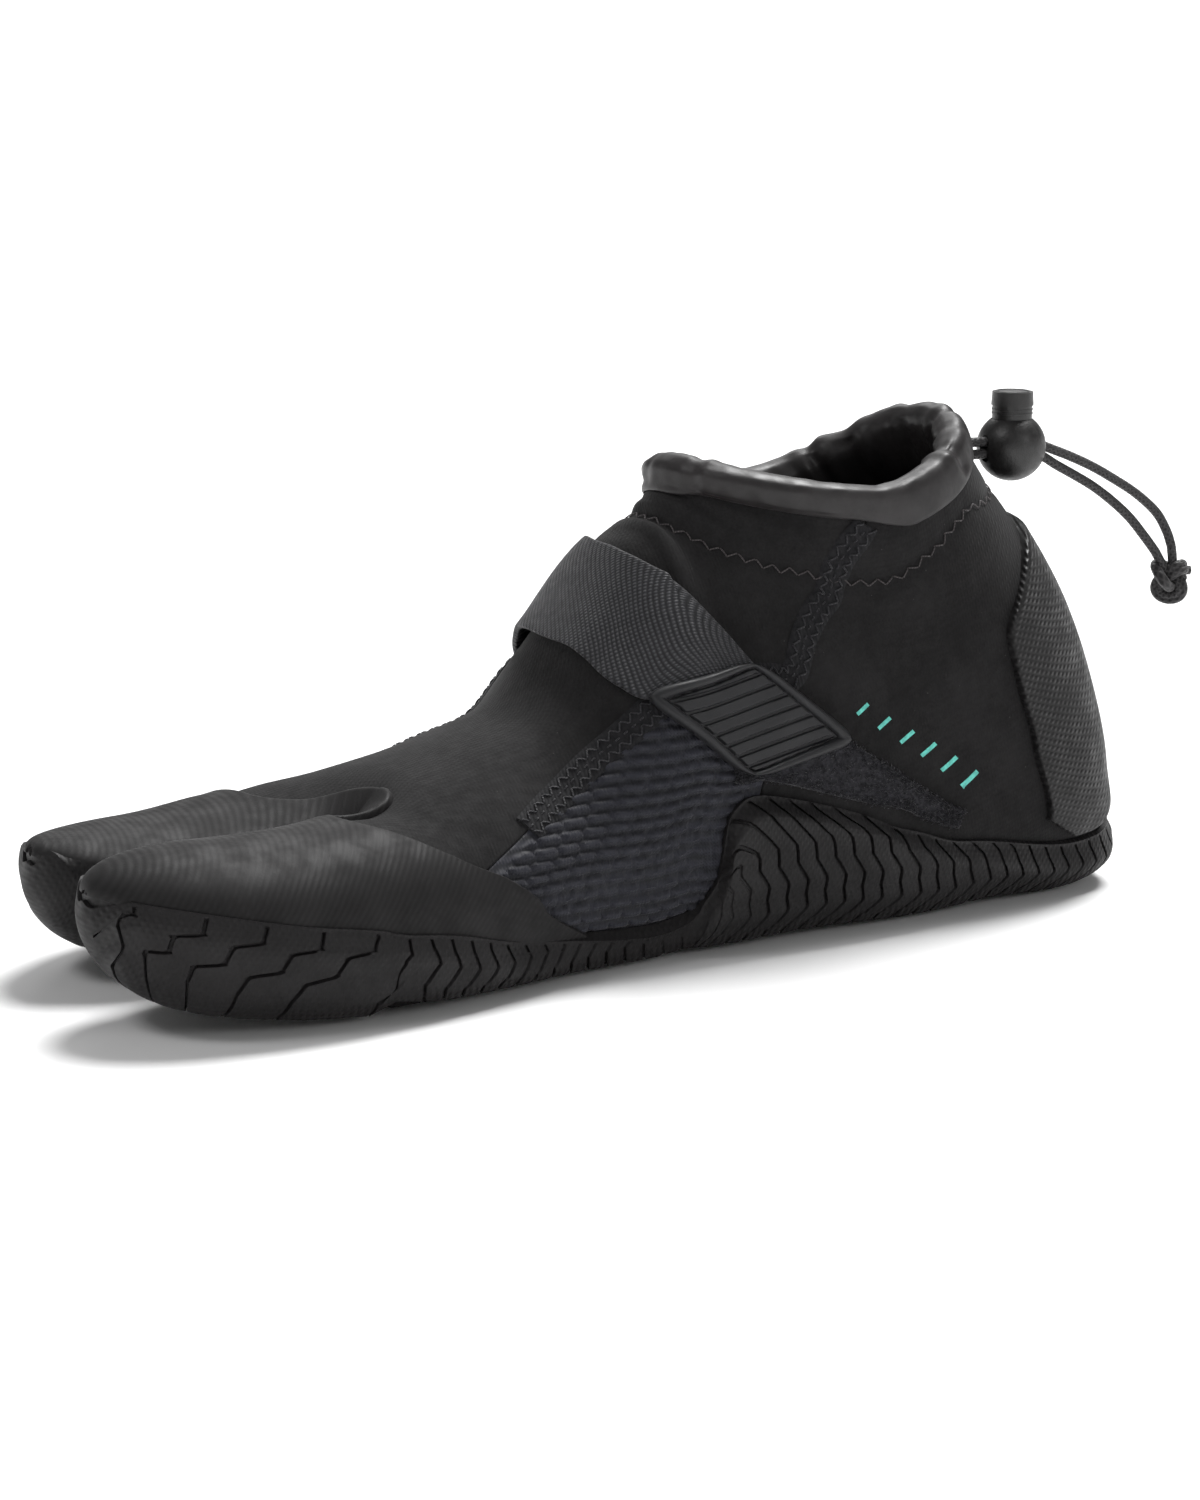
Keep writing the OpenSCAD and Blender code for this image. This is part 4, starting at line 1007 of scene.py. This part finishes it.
def make_seams(tape, thread, pale_thread):
    seam = [[-38, 32.8]] + [q for q in FRONT_SEAM if q[0] > -30] + REAR_SEAM[1:] + [[84, 15.5]]
    for side, turn in (("near", lambda p: p), ("far", mirrored)):
        path = turn(seam)
        make_band("flatlock_band_" + side, path, 7.4, 0.02, 0.5, tape, ["flatlock_seam_" + side])
        shape = Shape()
        for offset in (-1.9, 1.9):
            add_zigzag(shape, path, 1.6, 0.9, offset, 0.72, 0.22)
        add_row(shape, path, 2.4, 0.0, 0.66, 0.2)
        shape.make("flatlock_stitches_" + side, thread, "boot")
    angles = np.linspace(-84, 264, 90)
    ring = np.stack([np.interp(side_of(angles), *STITCH.T), angles], -1)
    shape = Shape()
    add_zigzag(shape, ring, 2.2, 0.8, 0.0, 0.42, 0.18)
    shape.make("cuff_zigzag_stitches", pale_thread, "boot", ["cuff_stitching"])
    make_band("back_seam_cover", [[67, -90], [74, -90], [81, -90], [91, -90]], 6.2, 0.05, 0.55, tape,
              ["back_seam_tape"])


def fork_layers(shape, outer_of, inner_of, main, big, small):
    """Shell with a fork: a wide grid and two toe grids that share its first row."""
    for s, a in (main, big, small):
        shape.slab(outer_of(s, a), inner_of(s, a), (False, True, True, True))


def toe_rows(tip, count):
    """Stations from the crotch to a toe tip, closer together as the tip rounds over."""
    turn = np.sin(np.linspace(0, np.pi / 2, count))
    return CROTCH + (tip + 0.06 - CROTCH) * turn


def make_toe_overlay(finish):
    low = lambda s: np.interp(s, *np.array(FOXING).T) - 4
    high = lambda s: 180 - np.interp(s, *np.array(FOXING_FAR).T) + 4
    half, deep = 90, 46
    gap, thick = 0.65, OVERLAY
    q = np.linspace(0, 1, 2 * half + 1)
    rear_table = np.array(OVERLAY_REAR, float)
    rear = rows(rear_table, 180 * q)[:, 1]
    s = CROTCH + (rear - CROTCH)[None] * spaced(deep, 0.6)[:, None]
    a = np.where(q < 0.5, low(s) + (90 - low(s)) * 2 * q, 90 + (high(s) - 90) * (2 * q - 1))
    main = (s, a)
    along = np.linspace(0, 1, half + 1)[None]
    big_s = toe_rows(BIG_TIP[0], 80)[:, None]
    big_a = low(big_s) + (90 - 1.4 * ease(CROTCH, CROTCH - 5, big_s) - low(big_s)) * along
    small_s = toe_rows(SMALL_TIP[0], 76)[:, None]
    start = 90 + 1.4 * ease(CROTCH, CROTCH - 5, small_s)
    small_a = start + (high(small_s) - start) * along
    grids = [main, np.broadcast_arrays(big_s, big_a), np.broadcast_arrays(small_s, small_a)]

    def outer(s, a):
        rim = np.minimum(np.abs(a - low(s)), np.abs(high(s) - a)) * 0.8
        q = np.clip(1 - np.minimum(rim, rear_at(a, s) - s), 0, 1)
        return layer(s, a, gap + thick - 0.75 * (1 - np.sqrt(1 - q * q)))

    def rear_at(a, s):
        share = np.where(a < 90, (a - low(s)) / (90 - low(s)) / 2, 0.5 + (a - 90) / (high(s) - 90) / 2)
        return rows(rear_table, 180 * np.clip(share, 0, 1))[..., 1]

    shape = Shape()
    fork_layers(shape, outer, lambda s, a: layer(s, a, gap - 0.55), *grids)
    shape.make("toe_overlay_rubber", finish, "boot", ["toe_overlay"], weld=2e-5)


def make_heel_overlay(finish):
    low = [[58, -34], [61.2, -44], [63.6, -57], [65.2, -76], [65.6, -90]]
    high = HEEL_EDGE + [[89, -90]]
    all_low = low + [[q[0], -180 - q[1]] for q in low[::-1] if q[1] > -90]
    all_high = high + [[q[0], -180 - q[1]] for q in high[::-1] if q[1] > -90]
    s, a = patch(all_low, all_high, [low[0], high[0]], [all_low[-1], all_high[-1]], 160, 90)
    make_sheet("heel_overlay_rubber", s, a, -0.4, 1.0 + OVERLAY, finish, ["heel_overlay"],
               round_edge=0.9, at=layer)


def make_inside(neoprene, foam):
    """Bottom sock, footbed and the toe pockets inside the shell."""
    edge = LASTING + LASTING_HEEL[1:-1] + [[60, -84]]
    far = [[q[0], -180 - q[1]] for q in edge]
    s, a = patch(edge, far, [edge[0], far[0]], [[60, -84], [60, -96]], 90, 40, (0, 0))
    make_sheet("bottom_sock_panel", s, a, -NEOPRENE - EDGE_INSET, -EDGE_INSET, neoprene,
               ["bottom_sock"], at=layer)
    edge = [[-76, -50], [-40, -48], [8, -54], [30, -60], [44, -63], [52, -68], [56, -76]]
    far = [[q[0], -180 - q[1]] for q in edge]
    s, a = patch(edge, far, [[-76, -50], [-76, -130]], [[56, -76], [56, -104]], 90, 40, (0.5, 0.5))
    make_sheet("footbed_cushion", s, a, -3.3, -4.9, foam, ["footbed"],
               round_edge=0.01, at=layer)
    mouth = CROTCH - EDGE_INSET
    for name, tip, start in (("big_toe_pocket", BIG_TIP[0] + 3, -90),
                             ("small_toes_pocket", SMALL_TIP[0] + 3, 90)):
        s = (mouth + (tip - mouth) * np.sin(np.linspace(0, np.pi / 2, 40)))[:, None]
        a = (start + 180 * (np.arange(60) + 0.5) / 60)[None]
        s, a = np.broadcast_arrays(s, a)
        shape = Shape()
        outer, inner = (layer(s, a, off) for off in (-0.5, -0.5 - NEOPRENE))
        shape.slab(outer, inner, (True, False), True)
        m, n = s.shape
        for k in (0, m * n):
            shape.faces.append(tuple(range(k + (m - 1) * n, k + m * n)))
        shape.make(name + "_liner", neoprene, "boot", [name])


# ---- cuff lining ------------------------------------------------------------------------

# distance below the cuff edge, distance off the skin and share of the rise, round the section
LINING_SECTION = [[4.2, 0.7, 1], [4.2, 1.4, 1], [1.5, 2.0, 1], [-1.6, 2.0, 1], [-3.4, 0.9, 1],
                  [-4.2, -1.6, 1], [-3.6, -4.2, 1], [-1.8, -5.9, 1], [2, -6.5, 0], [8, -6.5, 0],
                  [11.5, -6, 0], [14.5, -4.2, 0], [26, -4.1, 0], [26, -3, 0], [14, -3, 0],
                  [11, -5.1, 0], [3, -5.2, 0], [-1.4, -4.9, 1], [-2.5, -3.5, 1], [-2.8, -1.7, 1],
                  [-2.1, -0.1, 1], [-0.9, 0.7, 1]]
# pinched folds of the roll: angle, half width in degrees, depth
PINCHES = [(-40, 4.5, 1.2), (-33, 3, -0.5), (222, 5, 1.4), (212, 4, -0.6), (206, 3.5, 0.8), (72, 5, 0.9),
           (64, 3.5, -0.4), (110, 6, 0.5), (150, 7, 0.4), (-75, 4, 0.6), (258, 5, 0.9), (178, 6, 0.5)]


def make_lining(finish):
    n = 300
    t = np.linspace(0, 1, 110, endpoint=False)
    ring = np.array(LINING_SECTION, float)
    k = len(ring)
    i = np.floor(t * k).astype(int)
    f = (t * k - i)[:, None]
    p0, p1, p2, p3 = ring[i - 1], ring[i % k], ring[(i + 1) % k], ring[(i + 2) % k]
    section = (p1 + 0.4 * f * (p2 - p0) * (1 - f) ** 2 + (p2 - p1) * f * f * (3 - 2 * f)
               - 0.4 * f * f * (1 - f) * (p3 - p1))
    angle = np.linspace(-90, 270, n, endpoint=False)
    pinch = sum(depth * np.exp(-((((angle - centre) + 180) % 360 - 180) / width) ** 2)
                for centre, width, depth in PINCHES)
    ripple = 0.12 * np.sin(np.radians(angle * 23)) + 0.1 * np.sin(np.radians(angle * 37 + 40))
    d, off = section[None, :, 0], section[None, :, 1]
    top = ease(4.4, 1, d) * np.ones_like(off)
    inside = ease(-4, -6, off) * ease(14, 6, d)
    outside = ease(-0.5, 0.8, off) * ease(4.3, 2.5, d)
    c, e = np.cos(np.radians(angle)), np.sin(np.radians(angle))
    rise = (-0.4 + 1.7 * c + 1.7 * np.maximum(0, e) ** 2 + 0.8 * np.maximum(0, -e) ** 2
            + 1.5 * np.exp(-((angle + 15) / 30) ** 2))
    short = 1.3 * ease(0, 20, angle) * (1 - ease(65, 85, angle))
    d2 = d - rise[:, None] * section[None, :, 2] - short[:, None] * ease(1.4, 4.2, d) * ease(0, 0.8, off)
    d2 = d2 + (0.55 * pinch[:, None] + 0.5 * ripple[:, None]) * ease(4, 0, d) * section[None, :, 2]
    off2 = (off - (pinch + ripple)[:, None] * 0.75 * outside * top
            + (0.8 * pinch + 2 * ripple)[:, None] * inside)
    a = np.broadcast_to(angle[:, None], d2.shape)
    points = layer(below_cuff(a, d2), a, off2)
    shape = Shape()
    at = around(np.arange(d2.size).reshape(d2.shape))
    shape.add(points, quads_of(np.vstack([at, at[:1]])), flat_map(points) * MM)
    shape.make("cuff_lining_roll", finish, "boot", ["cuff_lining"], sharp=70)


# ---- strap ------------------------------------------------------------------------------


def make_strap(webbing, rubber, hook, loop):
    first, last = [STRAP_FRONT[0], STRAP_REAR[0]], [STRAP_FRONT[-1], STRAP_REAR[-1]]
    s, a = patch(STRAP_FRONT, STRAP_REAR, first, last, 190, 34, (0.3, 0.75))
    base = skin(s, a)
    across = lengths(base, 1) / lengths(base, 1)[:, -1:]
    bridge = 1.4 * (1 - across) ** 2 * ease(66, 78, a) * (1 - ease(112, 135, a))
    shape = Shape()
    flat = flat_map(base)
    rim = edge_fall(base, 0.6)
    shape.slab(layer(s, a, 1.3 + WEBBING + bridge - rim), layer(s, a, 1.3 + bridge + 0.4 * rim), flat=flat)
    strap = shape.make("instep_strap_webbing", webbing, None, ["instep_strap", "strap_flap"])
    middle = 0.5 * (np.array(STRAP_FRONT) + STRAP_REAR)
    hinge = [skin(*middle[k]) for k in (8, 9, 10)]
    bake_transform(strap)
    make_tab(rubber)
    u, v = np.linspace(0, 1, 30)[:, None, None], np.linspace(0, 1, 30)[None, :, None]
    corners = HOOK_CORNERS
    grid = ((1 - u) * ((1 - v) * corners[0] + v * corners[1])
            + u * ((1 - v) * corners[3] + v * corners[2]))
    make_sheet("hook_tape", grid[..., 0], grid[..., 1], 1.35, 2.1, hook, ["hook_patch"],
               round_edge=0.3, at=layer, body="strap_end")
    make_loop_patch(loop)


SLATS = 6


def settle(points, s, a):
    """Stations and angles of the skin nearest to points, from a close first guess."""
    for _ in range(8):
        here = skin(s, a)
        down, round_it = (skin(s + 0.01, a) - here) * 100, (skin(s, a + 0.01) - here) * 100
        gap = points - here
        dd, dr, rr = (down * down).sum(-1), (down * round_it).sum(-1), (round_it * round_it).sum(-1)
        gd, gr = (gap * down).sum(-1), (gap * round_it).sum(-1)
        s = s + np.clip((gd * rr - gr * dr) / (dd * rr - dr * dr), -5, 5)
        a = a + np.clip((gr * dd - gd * dr) / (dd * rr - dr * dr), -5, 5)
    return s, a


def make_tab(finish):
    """Moulded tab: a raised bead round six slats that lie across the strap's end."""
    n = 150
    q = np.linspace(-1, 1, n)
    p, r = np.meshgrid(q, q, indexing="ij")
    u = (p * (1 - 0.1 * np.abs(r) ** 7) + 1) / 2
    v = (r * (1 - 0.13 * np.abs(p) ** 7) + 1) / 2
    (top_left, foot_left), (top_right, foot_right) = ([np.array(q) for q in side] for side in TAB_CORNERS)
    mix = lambda one, two, share: one + (two - one) * share[..., None]
    guess = mix(mix(top_left, foot_left, u), mix(top_right, foot_right, u), v)
    corners = [skin(*q) for q in (top_left, foot_left, top_right, foot_right)]
    flat = mix(mix(corners[0], corners[1], u), mix(corners[2], corners[3], u), v)
    s, a = settle(flat, guess[..., 0], guess[..., 1])
    base = skin(s, a)
    along, across = lengths(base, 0), lengths(base, 1)
    edge = from_rim(along, across)
    bead = np.sqrt(np.clip(1 - ((edge - 1.5) / 1.5) ** 2, 0, 1))
    x = (u - 0.14) / 0.72 * SLATS
    groove = 1 - ease(0.05, 0.17, np.abs(x - np.round(x)))
    slat = 1.05 * ease(3.0, 3.7, edge) * (1 - 0.9 * groove)
    top = 2.9 + np.maximum(np.maximum(1.65 * bead, slat), 0.35 * ease(0.8, 3.0, edge))
    shape = Shape()
    shape.slab(layer(s, a, top), layer(s, a, 2.5), flat=np.stack([along, across], -1))
    shape.make("pull_tab_moulded", finish, "strap_end", ["pull_tab"])


LOOP_FIBRES = 1500


def make_loop_patch(finish):
    """Brushed loop tape: a soft base under hundreds of small fibre arches."""
    s, a = patch(LOOP_LOW, LOOP_HIGH, [LOOP_LOW[0], LOOP_HIGH[0]], [LOOP_LOW[-1], LOOP_HIGH[-1]], 120, 50,
                 (0.5, 0.5))
    rng = np.random.default_rng(7)
    nap = rng.normal(0, 0.12, s.shape)
    base = skin(s, a)
    shape = Shape()
    shape.slab(cloth(s, a, 0.9 - edge_fall(base, 0.6) + nap), cloth(s, a, 0.05))
    for _ in range(LOOP_FIBRES):
        i, j = rng.integers(1, s.shape[0] - 1), rng.integers(1, s.shape[1] - 1)
        root = cloth(s[i, j], a[i, j], np.array(0.7))
        up = outward(s[i, j], a[i, j])
        lean = unit(np.cross(up, rng.normal(size=3)))
        tall, wide = rng.uniform(0.6, 1.2), rng.uniform(0.5, 1.1)
        arch = [root - lean * wide, root - lean * wide * 0.6 + up * tall * 0.8, root + up * tall,
                root + lean * wide * 0.6 + up * tall * 0.8, root + lean * wide]
        shape.tube(arch, 0.07, 3)
    shape.make("loop_tape", finish, "boot", ["loop_patch"])


# ---- outsole ----------------------------------------------------------------------------

GROOVE_DEPTH, GROOVE_WIDTH = 0.95, 0.95
# distance from groove to groove at the heel, and how much more it is at the toes
PITCH, TOE_PITCH_MORE = 5.4, 7.4
# columns of each half of the wall, rows down it and the row its lengths are measured on
WALL_COLUMNS, WALL_ROWS, MIDDLE_ROW = 1500, 60, 16
# columns of the wall from each toe slot to the foremost point of that toe group
NEAR_TIP, FAR_TIP = 250, 312
# shift of the groove lines towards the heel, in millimetres, by height above the base line
# at the heel and by depth below the wall's top at the toes
HEEL_ZIGZAG = np.array([[0, 0.6], [2.5, -0.6], [5, -1.2], [10.5, 2.2], [14, 0.6], [17.5, 0.2],
                        [22, -3.2], [26, -3.0], [31, -8], [40, -16]], float)
TOE_STEPS = np.array([[0, 8], [4.6, 6], [6.3, -0.5], [10.6, -3.2], [12.4, -10.5], [17, -13.5],
                      [25, -16]], float)


def relax(grid, share, rounds=80):
    """Even out a grid of points, by the share given at each."""
    for _ in range(rounds):
        mean = grid.copy()
        mean[1:-1] = 0.5 * (grid[:-2] + grid[2:])
        mean[:, 1:-1] = 0.5 * mean[:, 1:-1] + 0.25 * (grid[:, :-2] + grid[:, 2:])
        grid += 0.7 * share * (mean - grid)


def wall_grid():
    """Outer face of the outsole's wall before its grooves, all the way round, with its normals.
    The first axis runs from the inner toe slot round the heel to the outer toe slot."""
    t = np.linspace(0, 1, WALL_COLUMNS)
    parts = []
    for top, base, turn in ((WALL_TOP, WALL_BASE, False), (WALL_TOP_FAR, WALL_BASE_FAR, True)):
        upper, lower = line(top, t), line(base, t)
        f = spaced(WALL_ROWS, 0.55)[None, :, None]
        grid = upper[:, None] * (1 - f) + lower[:, None] * f
        s, b = grid[..., 0], grid[..., 1]
        b = np.where((b < -90) & (s < CROTCH), b + 180, np.maximum(b, -90))
        parts.append((s[::-1], (180 - b)[::-1]) if turn else (s, b))
    s = np.concatenate([parts[0][0], parts[1][0][1:]])
    a = np.concatenate([parts[0][1], parts[1][1][1:]])
    base, normal = skin(s, a), outward(s, a)
    fallen = lengths(base, 1)
    slot = ease(-78, -86, s) * ease(40, 62, -side_of(a)) * ease(-126, -118, s)
    lip = 1.4 + 1.1 * ease(-30, -60, s)
    thick = (lip + (SIDEWALL - lip) * ease(0.2, 5.0, fallen)) * (1 - 0.5 * slot)
    thick = thick + 2.4 * ease(0.35, 0.85, -normal[..., 2]) * (1 - 0.5 * slot)
    outer = base + normal * thick[..., None]
    inner = base + normal * 0.35
    share = ease(-90, -108, outer[..., 1])[..., None]
    for grid in (outer, inner, normal):
        relax(grid, share)
    outer[..., 2] = np.maximum(outer[..., 2], ground(outer[..., 1]))
    return outer, inner, normal, s


def resample(values, run, at):
    """Columns of a grid looked up at new distances, row by row."""
    out = np.empty(at.shape + (values.shape[-1],))
    for j in range(values.shape[1]):
        for k in range(values.shape[2]):
            out[:, j, k] = np.interp(at[:, j], run, values[:, j, k])
    return out


def make_wall(shape):
    outer, inner, normal, s = wall_grid()
    run = lengths(outer[:, MIDDLE_ROW], 0)
    heel = run[WALL_COLUMNS]
    tall = lengths(outer, 1)
    above = tall[:, -1:] - tall
    station = s[:, MIDDLE_ROW]
    marks, here = [], run[NEAR_TIP] + 14
    last = run[len(run) - 1 - FAR_TIP] - 12
    while here < last:
        fore = ease(-68, -92, np.interp(here, run, station))
        marks.append(here)
        here += PITCH + TOE_PITCH_MORE * fore
    profile = np.array([-0.5, -0.28, 0.28, 0.5])
    columns, depths, kinds = [], [], []
    for k, mark in enumerate(marks):
        following = marks[k + 1] if k + 1 < len(marks) else mark + 9
        columns += [mark] * 4
        kinds += list(profile)
        depths += [0.0, 1.0, 1.0, 0.0]
        for share in (0.35, 0.65):
            columns.append(mark + (following - mark) * share)
            kinds.append(0.0)
            depths.append(-0.1)
    lead, trail = np.linspace(0, marks[0] - 9, 60), np.linspace(marks[-1] + 12, run[-1], 40)
    columns = np.concatenate([lead, columns, trail])
    kinds, depths = (np.concatenate([0 * lead, x, 0 * trail]) for x in (kinds, depths))
    level = resample(np.stack([above, tall], -1), run, np.repeat(columns[:, None], above.shape[1], 1))
    height, depth = level[..., 0], level[..., 1]
    fore = ease(-68, -92, np.interp(columns, run, station))[:, None]
    shift_heel = np.interp(height, *HEEL_ZIGZAG.T)
    shift_toe = np.interp(depth, *TOE_STEPS.T)
    shift = shift_heel * (1 - fore) + shift_toe * fore
    towards_heel = np.tanh((heel - columns) / 14)[:, None]
    ends = (ease(-26, 10, columns - marks[0]) * ease(-26, 10, marks[-1] - columns))[:, None]
    shift = shift * towards_heel * np.clip(ends, 0, 1)
    slope = np.abs(np.gradient(shift, axis=1) / np.minimum(np.gradient(height, axis=1), -0.05))
    width = GROOVE_WIDTH * np.sqrt(1 + np.minimum(slope, 3.4) ** 2)
    at = np.clip(columns[:, None] + shift + kinds[:, None] * width, 0, run[-1])
    at = np.maximum.accumulate(at, axis=0)
    face, back = resample(outer, run, at), resample(inner, run, at)
    out = unit(resample(normal, run, at))
    tall_here = lengths(face, 1)
    where = np.interp(columns, run, station)
    arch = 1 - 0.7 * ease(-14, -2, where) * (1 - ease(12, 20, where))
    fade = ease(0.6, 1.4, tall_here) * arch[:, None]
    face = face - out * (GROOVE_DEPTH * depths[:, None] * fade)[..., None]
    face[:, -1] = 0.6 * face[:, -1] + 0.4 * back[:, -1]
    shape.slab(face, back)


def make_outsole(finish):
    """One rubber part: a core under the foot, the grooved wall round it and the tread below."""
    shape = Shape()
    make_wall(shape)
    fox = lambda s: np.interp(s, *np.array(FOXING).T) - 6
    fox_far = lambda s: np.interp(s, *np.array(FOXING_FAR).T) - 6

    def core(s, a):
        down = -outward(s, a)[..., 2]
        p = layer(s, a, 1.2 + 2.2 * ease(0.2, 0.7, down) * ease(-1, 3, 64 - s))
        p[..., 2] = np.maximum(p[..., 2], ground(p[..., 1]) + GROOVE_DEPTH)
        return p

    inner = lambda s, a: layer(s, a, 0.3)
    q = np.linspace(0, 1, 81)[None]
    s = np.linspace(CROTCH, 62.6, 150)[:, None]
    near, far = fox(s) + (-90 - fox(s)) * 2 * q, -90 - (90 + fox_far(s)) * (2 * q - 1)
    main = np.broadcast_arrays(s, np.where(q < 0.5, near, far))
    t = np.linspace(0, 1, 41)[None]
    big_s, small_s = toe_rows(BIG_TIP[0], 60)[:, None], toe_rows(SMALL_TIP[0], 60)[:, None]
    big = np.broadcast_arrays(big_s, fox(big_s) + (-88 - fox(big_s)) * t)
    small = np.broadcast_arrays(small_s, -92 - (88 + fox_far(small_s)) * t)
    fork_layers(shape, core, inner, main, big, small)
    make_tip_pads(shape)
    make_tread(shape)
    shape.make("outsole_moulded", finish, "boot", ["outsole"], sharp=38, weld=2e-6)


def make_tip_pads(shape):
    """A thin rounded pad at the end of each toe group, under the wall's and the overlay's edges."""
    for tip, first in ((BIG_TIP[0], -90), (SMALL_TIP[0], 90)):
        s = tip + 0.002 + 4.5 * np.linspace(0, 1, 20)[:, None] ** 2
        s, a = np.broadcast_arrays(s, first + 180 * np.linspace(0.001, 0.999, 61)[None])
        shape.slab(layer(s, a, 1.4), layer(s, a, 0.3))


def make_tread(shape):
    """Chevron tread blocks under the foot, each a shallow closed pad on the core."""
    across = np.linspace(-1, 1, 25)
    regions = [(-74, 54, lambda s: np.interp(s, [-74, -20, 20, 54], [-52, -56, -57, -66]),
                lambda s: -180 - np.interp(s, [-74, -20, 20, 54], [-50, -54, -56, -66])),
               (-120, -84, lambda s: -33 + 0 * s, lambda s: -58 + 0 * s),
               (-114, -84, lambda s: -122 + 0 * s, lambda s: -147 + 0 * s)]
    for first, last, one, two in regions:
        pitch, gap = 8.8, 1.2
        for k in range(int((last - first) / pitch)):
            lengthwise = first + pitch * k + np.linspace(0, pitch - gap, 5)
            chevron = 2.4 * np.abs(((across * 2.0) % 2) - 1) - 1.2
            s = lengthwise[:, None] + chevron[None]
            a = one(s) + (two(s) - one(s)) * (across[None] + 1) / 2
            p = skin(s, a)
            rim = np.minimum(np.minimum(np.arange(5)[:, None], 4 - np.arange(5)[:, None]),
                             np.minimum(np.arange(25)[None], 24 - np.arange(25)[None]))
            low = ground(p[..., 1])
            face = p.copy()
            face[..., 2] = low + np.where(rim == 0, 0.35, 0.0)
            back = p.copy()
            back[..., 2] = low + GROOVE_DEPTH + 0.5
            shape.slab(face, back)


# ---- the boot ---------------------------------------------------------------------------

make_camera()
plastic, cord = plastic_finish(), cord_finish()
lock_pieces = make_lock(plastic)
make_cords(cord)
make_studio()
neoprene = neoprene_finish()
tape = tape_finish()
make_upper(neoprene, mesh_finish())
make_seams(tape, thread_finish("seam_thread", (0.02, 0.0195, 0.023)),
           thread_finish("cuff_thread", (0.06, 0.052, 0.053)))
make_mark(ink_finish())
make_toe_overlay(overlay_finish())
make_heel_overlay(heel_finish())
make_inside(neoprene, foam_finish())
make_lining(lining_finish())
make_strap(webbing_finish(), moulded_finish(),
           fuzz_finish("hook_nap", (0.008, 0.008, 0.008), (0.02, 0.02, 0.02)),
           fuzz_finish("loop_nap", (0.012, 0.012, 0.014), (0.032, 0.031, 0.036)))
make_outsole(sole_finish())
dress("cord_guide", moulded_finish())
dress("cord_lock_spring", steel_finish())
